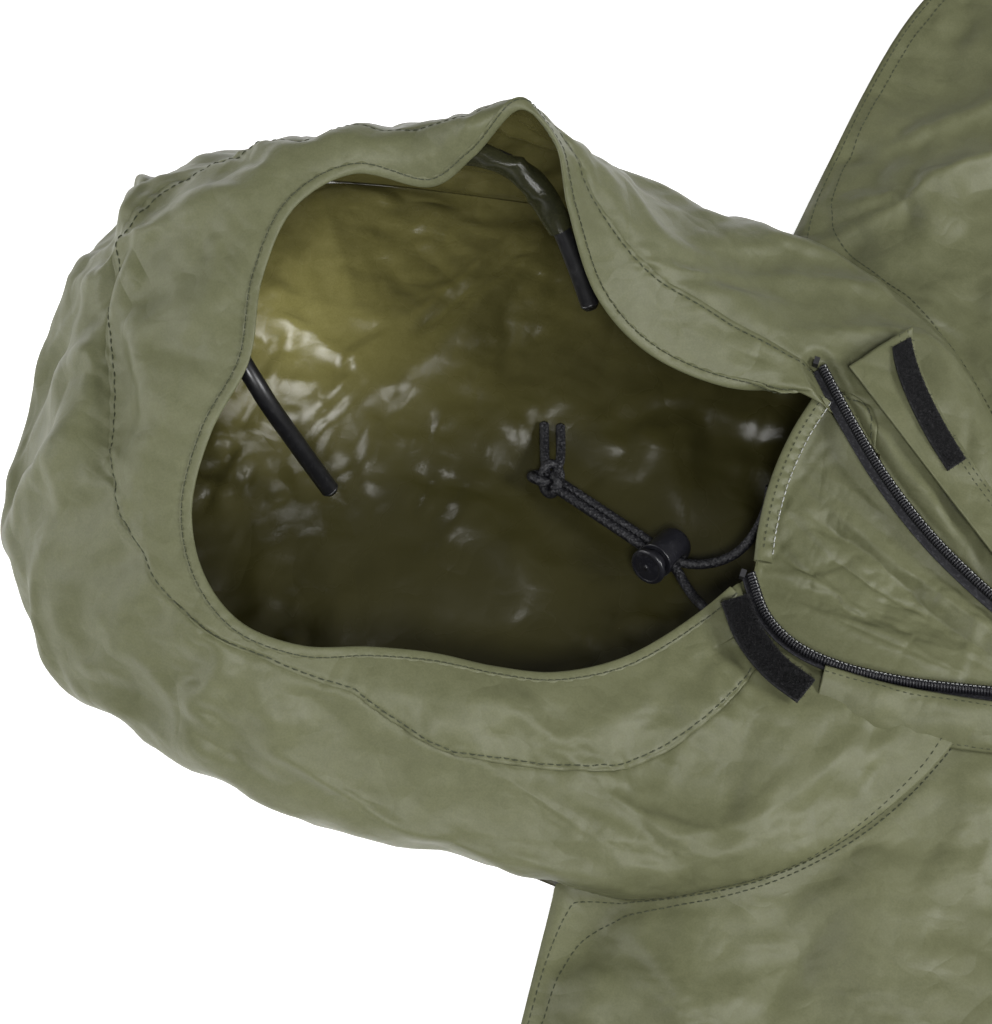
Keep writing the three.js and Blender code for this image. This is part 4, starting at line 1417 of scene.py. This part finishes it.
for word, low, high in (("near", -158, -36), ("far", 22, 158)):
    y = np.linspace(low, high, 160)
    x = neck_seam_x(y)
    line = np.stack([x, y, front_height(x, y)], 1)
    strip = strip_grid(line, -8, -4, 8, -2.6 + 0.25 * noise(line[:, None], 14, 72), 0.5)
    middle = strip.mean(1, keepdims=True)
    taper = np.sin(np.pi * np.linspace(0.01, 0.99, 160))[:, None, None] ** 0.3
    strip = middle + (strip - middle) * taper - UP * 1.2 * (1 - taper)
    panel(f"neck_seam_{word}_fell", strip, f"neck_seam_{word}", thickness=0.8)
    tape = strip_grid(line, -12, 8, 10, -4.4)
    tape = tape + UP * (0.5 * noise(tape, 9, 71))[..., None]
    settle(fabric(f"seam_tape_{word}_film", tape, 0.4), "bag", "seam_tape", SEAM_TAPE, f"seam_tape_{word}")

stay_path = Curve([
    *((-165, -37, 28), (-184, -31, 62), (-204, -23, 95), (-222, -8, 106), (-234, 20, 112), (-233, 54, 119)),
    *((-212, 84, 125), (-180, 99, 126), (-152, 109, 132), (-126, 110, 131), (-103, 101, 116), (-86, 88, 97)),
    (-73, 76, 80),
])


def make_stay():
    line = stay_path.along(260, 0.012, 0.988)
    rod = tube_object("stay_rod_round", line, ROD / 2, 28)
    settle(rod, "bag", "rod_plastic", ROD_PLASTIC, "stay_rod", "stay_cap_near", "stay_cap_far")
    rings = rings_along(stay_path.along(240, 0.26, 0.86), SLEEVE_RADIUS, 26)
    out = unit(rings - rings.mean(1, keepdims=True))
    bunch = 1.0 * noise(rings, 16, 91) + 2.4 * pleats(rings, 15, 93) - 1.6
    made = grid_object("stay_sleeve_casing", rings + out * bunch[..., None], round_columns=True)
    settle(made, "bag", "lining_fabric", SLEEVE, "stay_sleeve")


make_stay()


# ---- floor, light ----

FLOOR_REACH = 60000.0
# Each lamp: its place, what it points at, its width in metres and its power in watts. The last one is inside
# the hood, for the light that comes through its fabric.
LAMPS = (
    ("key", (0.1, -2.3, 4.6), (-0.85, 0.15, 0.05), 1.2, 155),
    ("head", (-2.7, -0.5, 1.0), (-1.0, 0.0, 0.08), 1.1, 17),
    ("side", (1.2, 0.2, 1.5), (-0.5, 0.2, 0.0), 0.9, 44),
    ("glow", (-1.06, 0.025, 0.08), (-0.97, 0.1, 0.03), 0.05, 0.11),
)


def studio():
    white = (1, 1, 1, 1)
    floor_shader = Shader("studio_floor", Base_Color=(0.86, 0.86, 0.86, 1), Roughness=0.9)
    floor_shader.set(Emission_Color=white, Emission_Strength=0.75)
    corners = [(x * FLOOR_REACH, y * FLOOR_REACH, 0) for x, y in ((-1, -1), (1, -1), (1, 1), (-1, 1))]
    floor = mesh_object("floor", corners, [(0, 1, 2, 3)])
    floor.data.materials.append(floor_shader.material)
    world = bpy.data.worlds.new("studio")
    world.use_nodes = True
    sky = world.node_tree.nodes["Background"].inputs
    sky["Color"].default_value = white
    sky["Strength"].default_value = 0.13
    scene.world = world
    for name, spot, aim, size, power in LAMPS:
        data = bpy.data.lights.new(name, "AREA")
        data.shape = "DISK"
        data.size = size
        data.energy = power
        lamp = bpy.data.objects.new(name, data)
        lamp.visible_camera = False
        lamp.location = spot
        lamp.rotation_euler = (Vector(aim) - Vector(spot)).to_track_quat("-Z", "Y").to_euler()
        scene.collection.objects.link(lamp)


studio()
scene.view_settings.view_transform = "Standard"
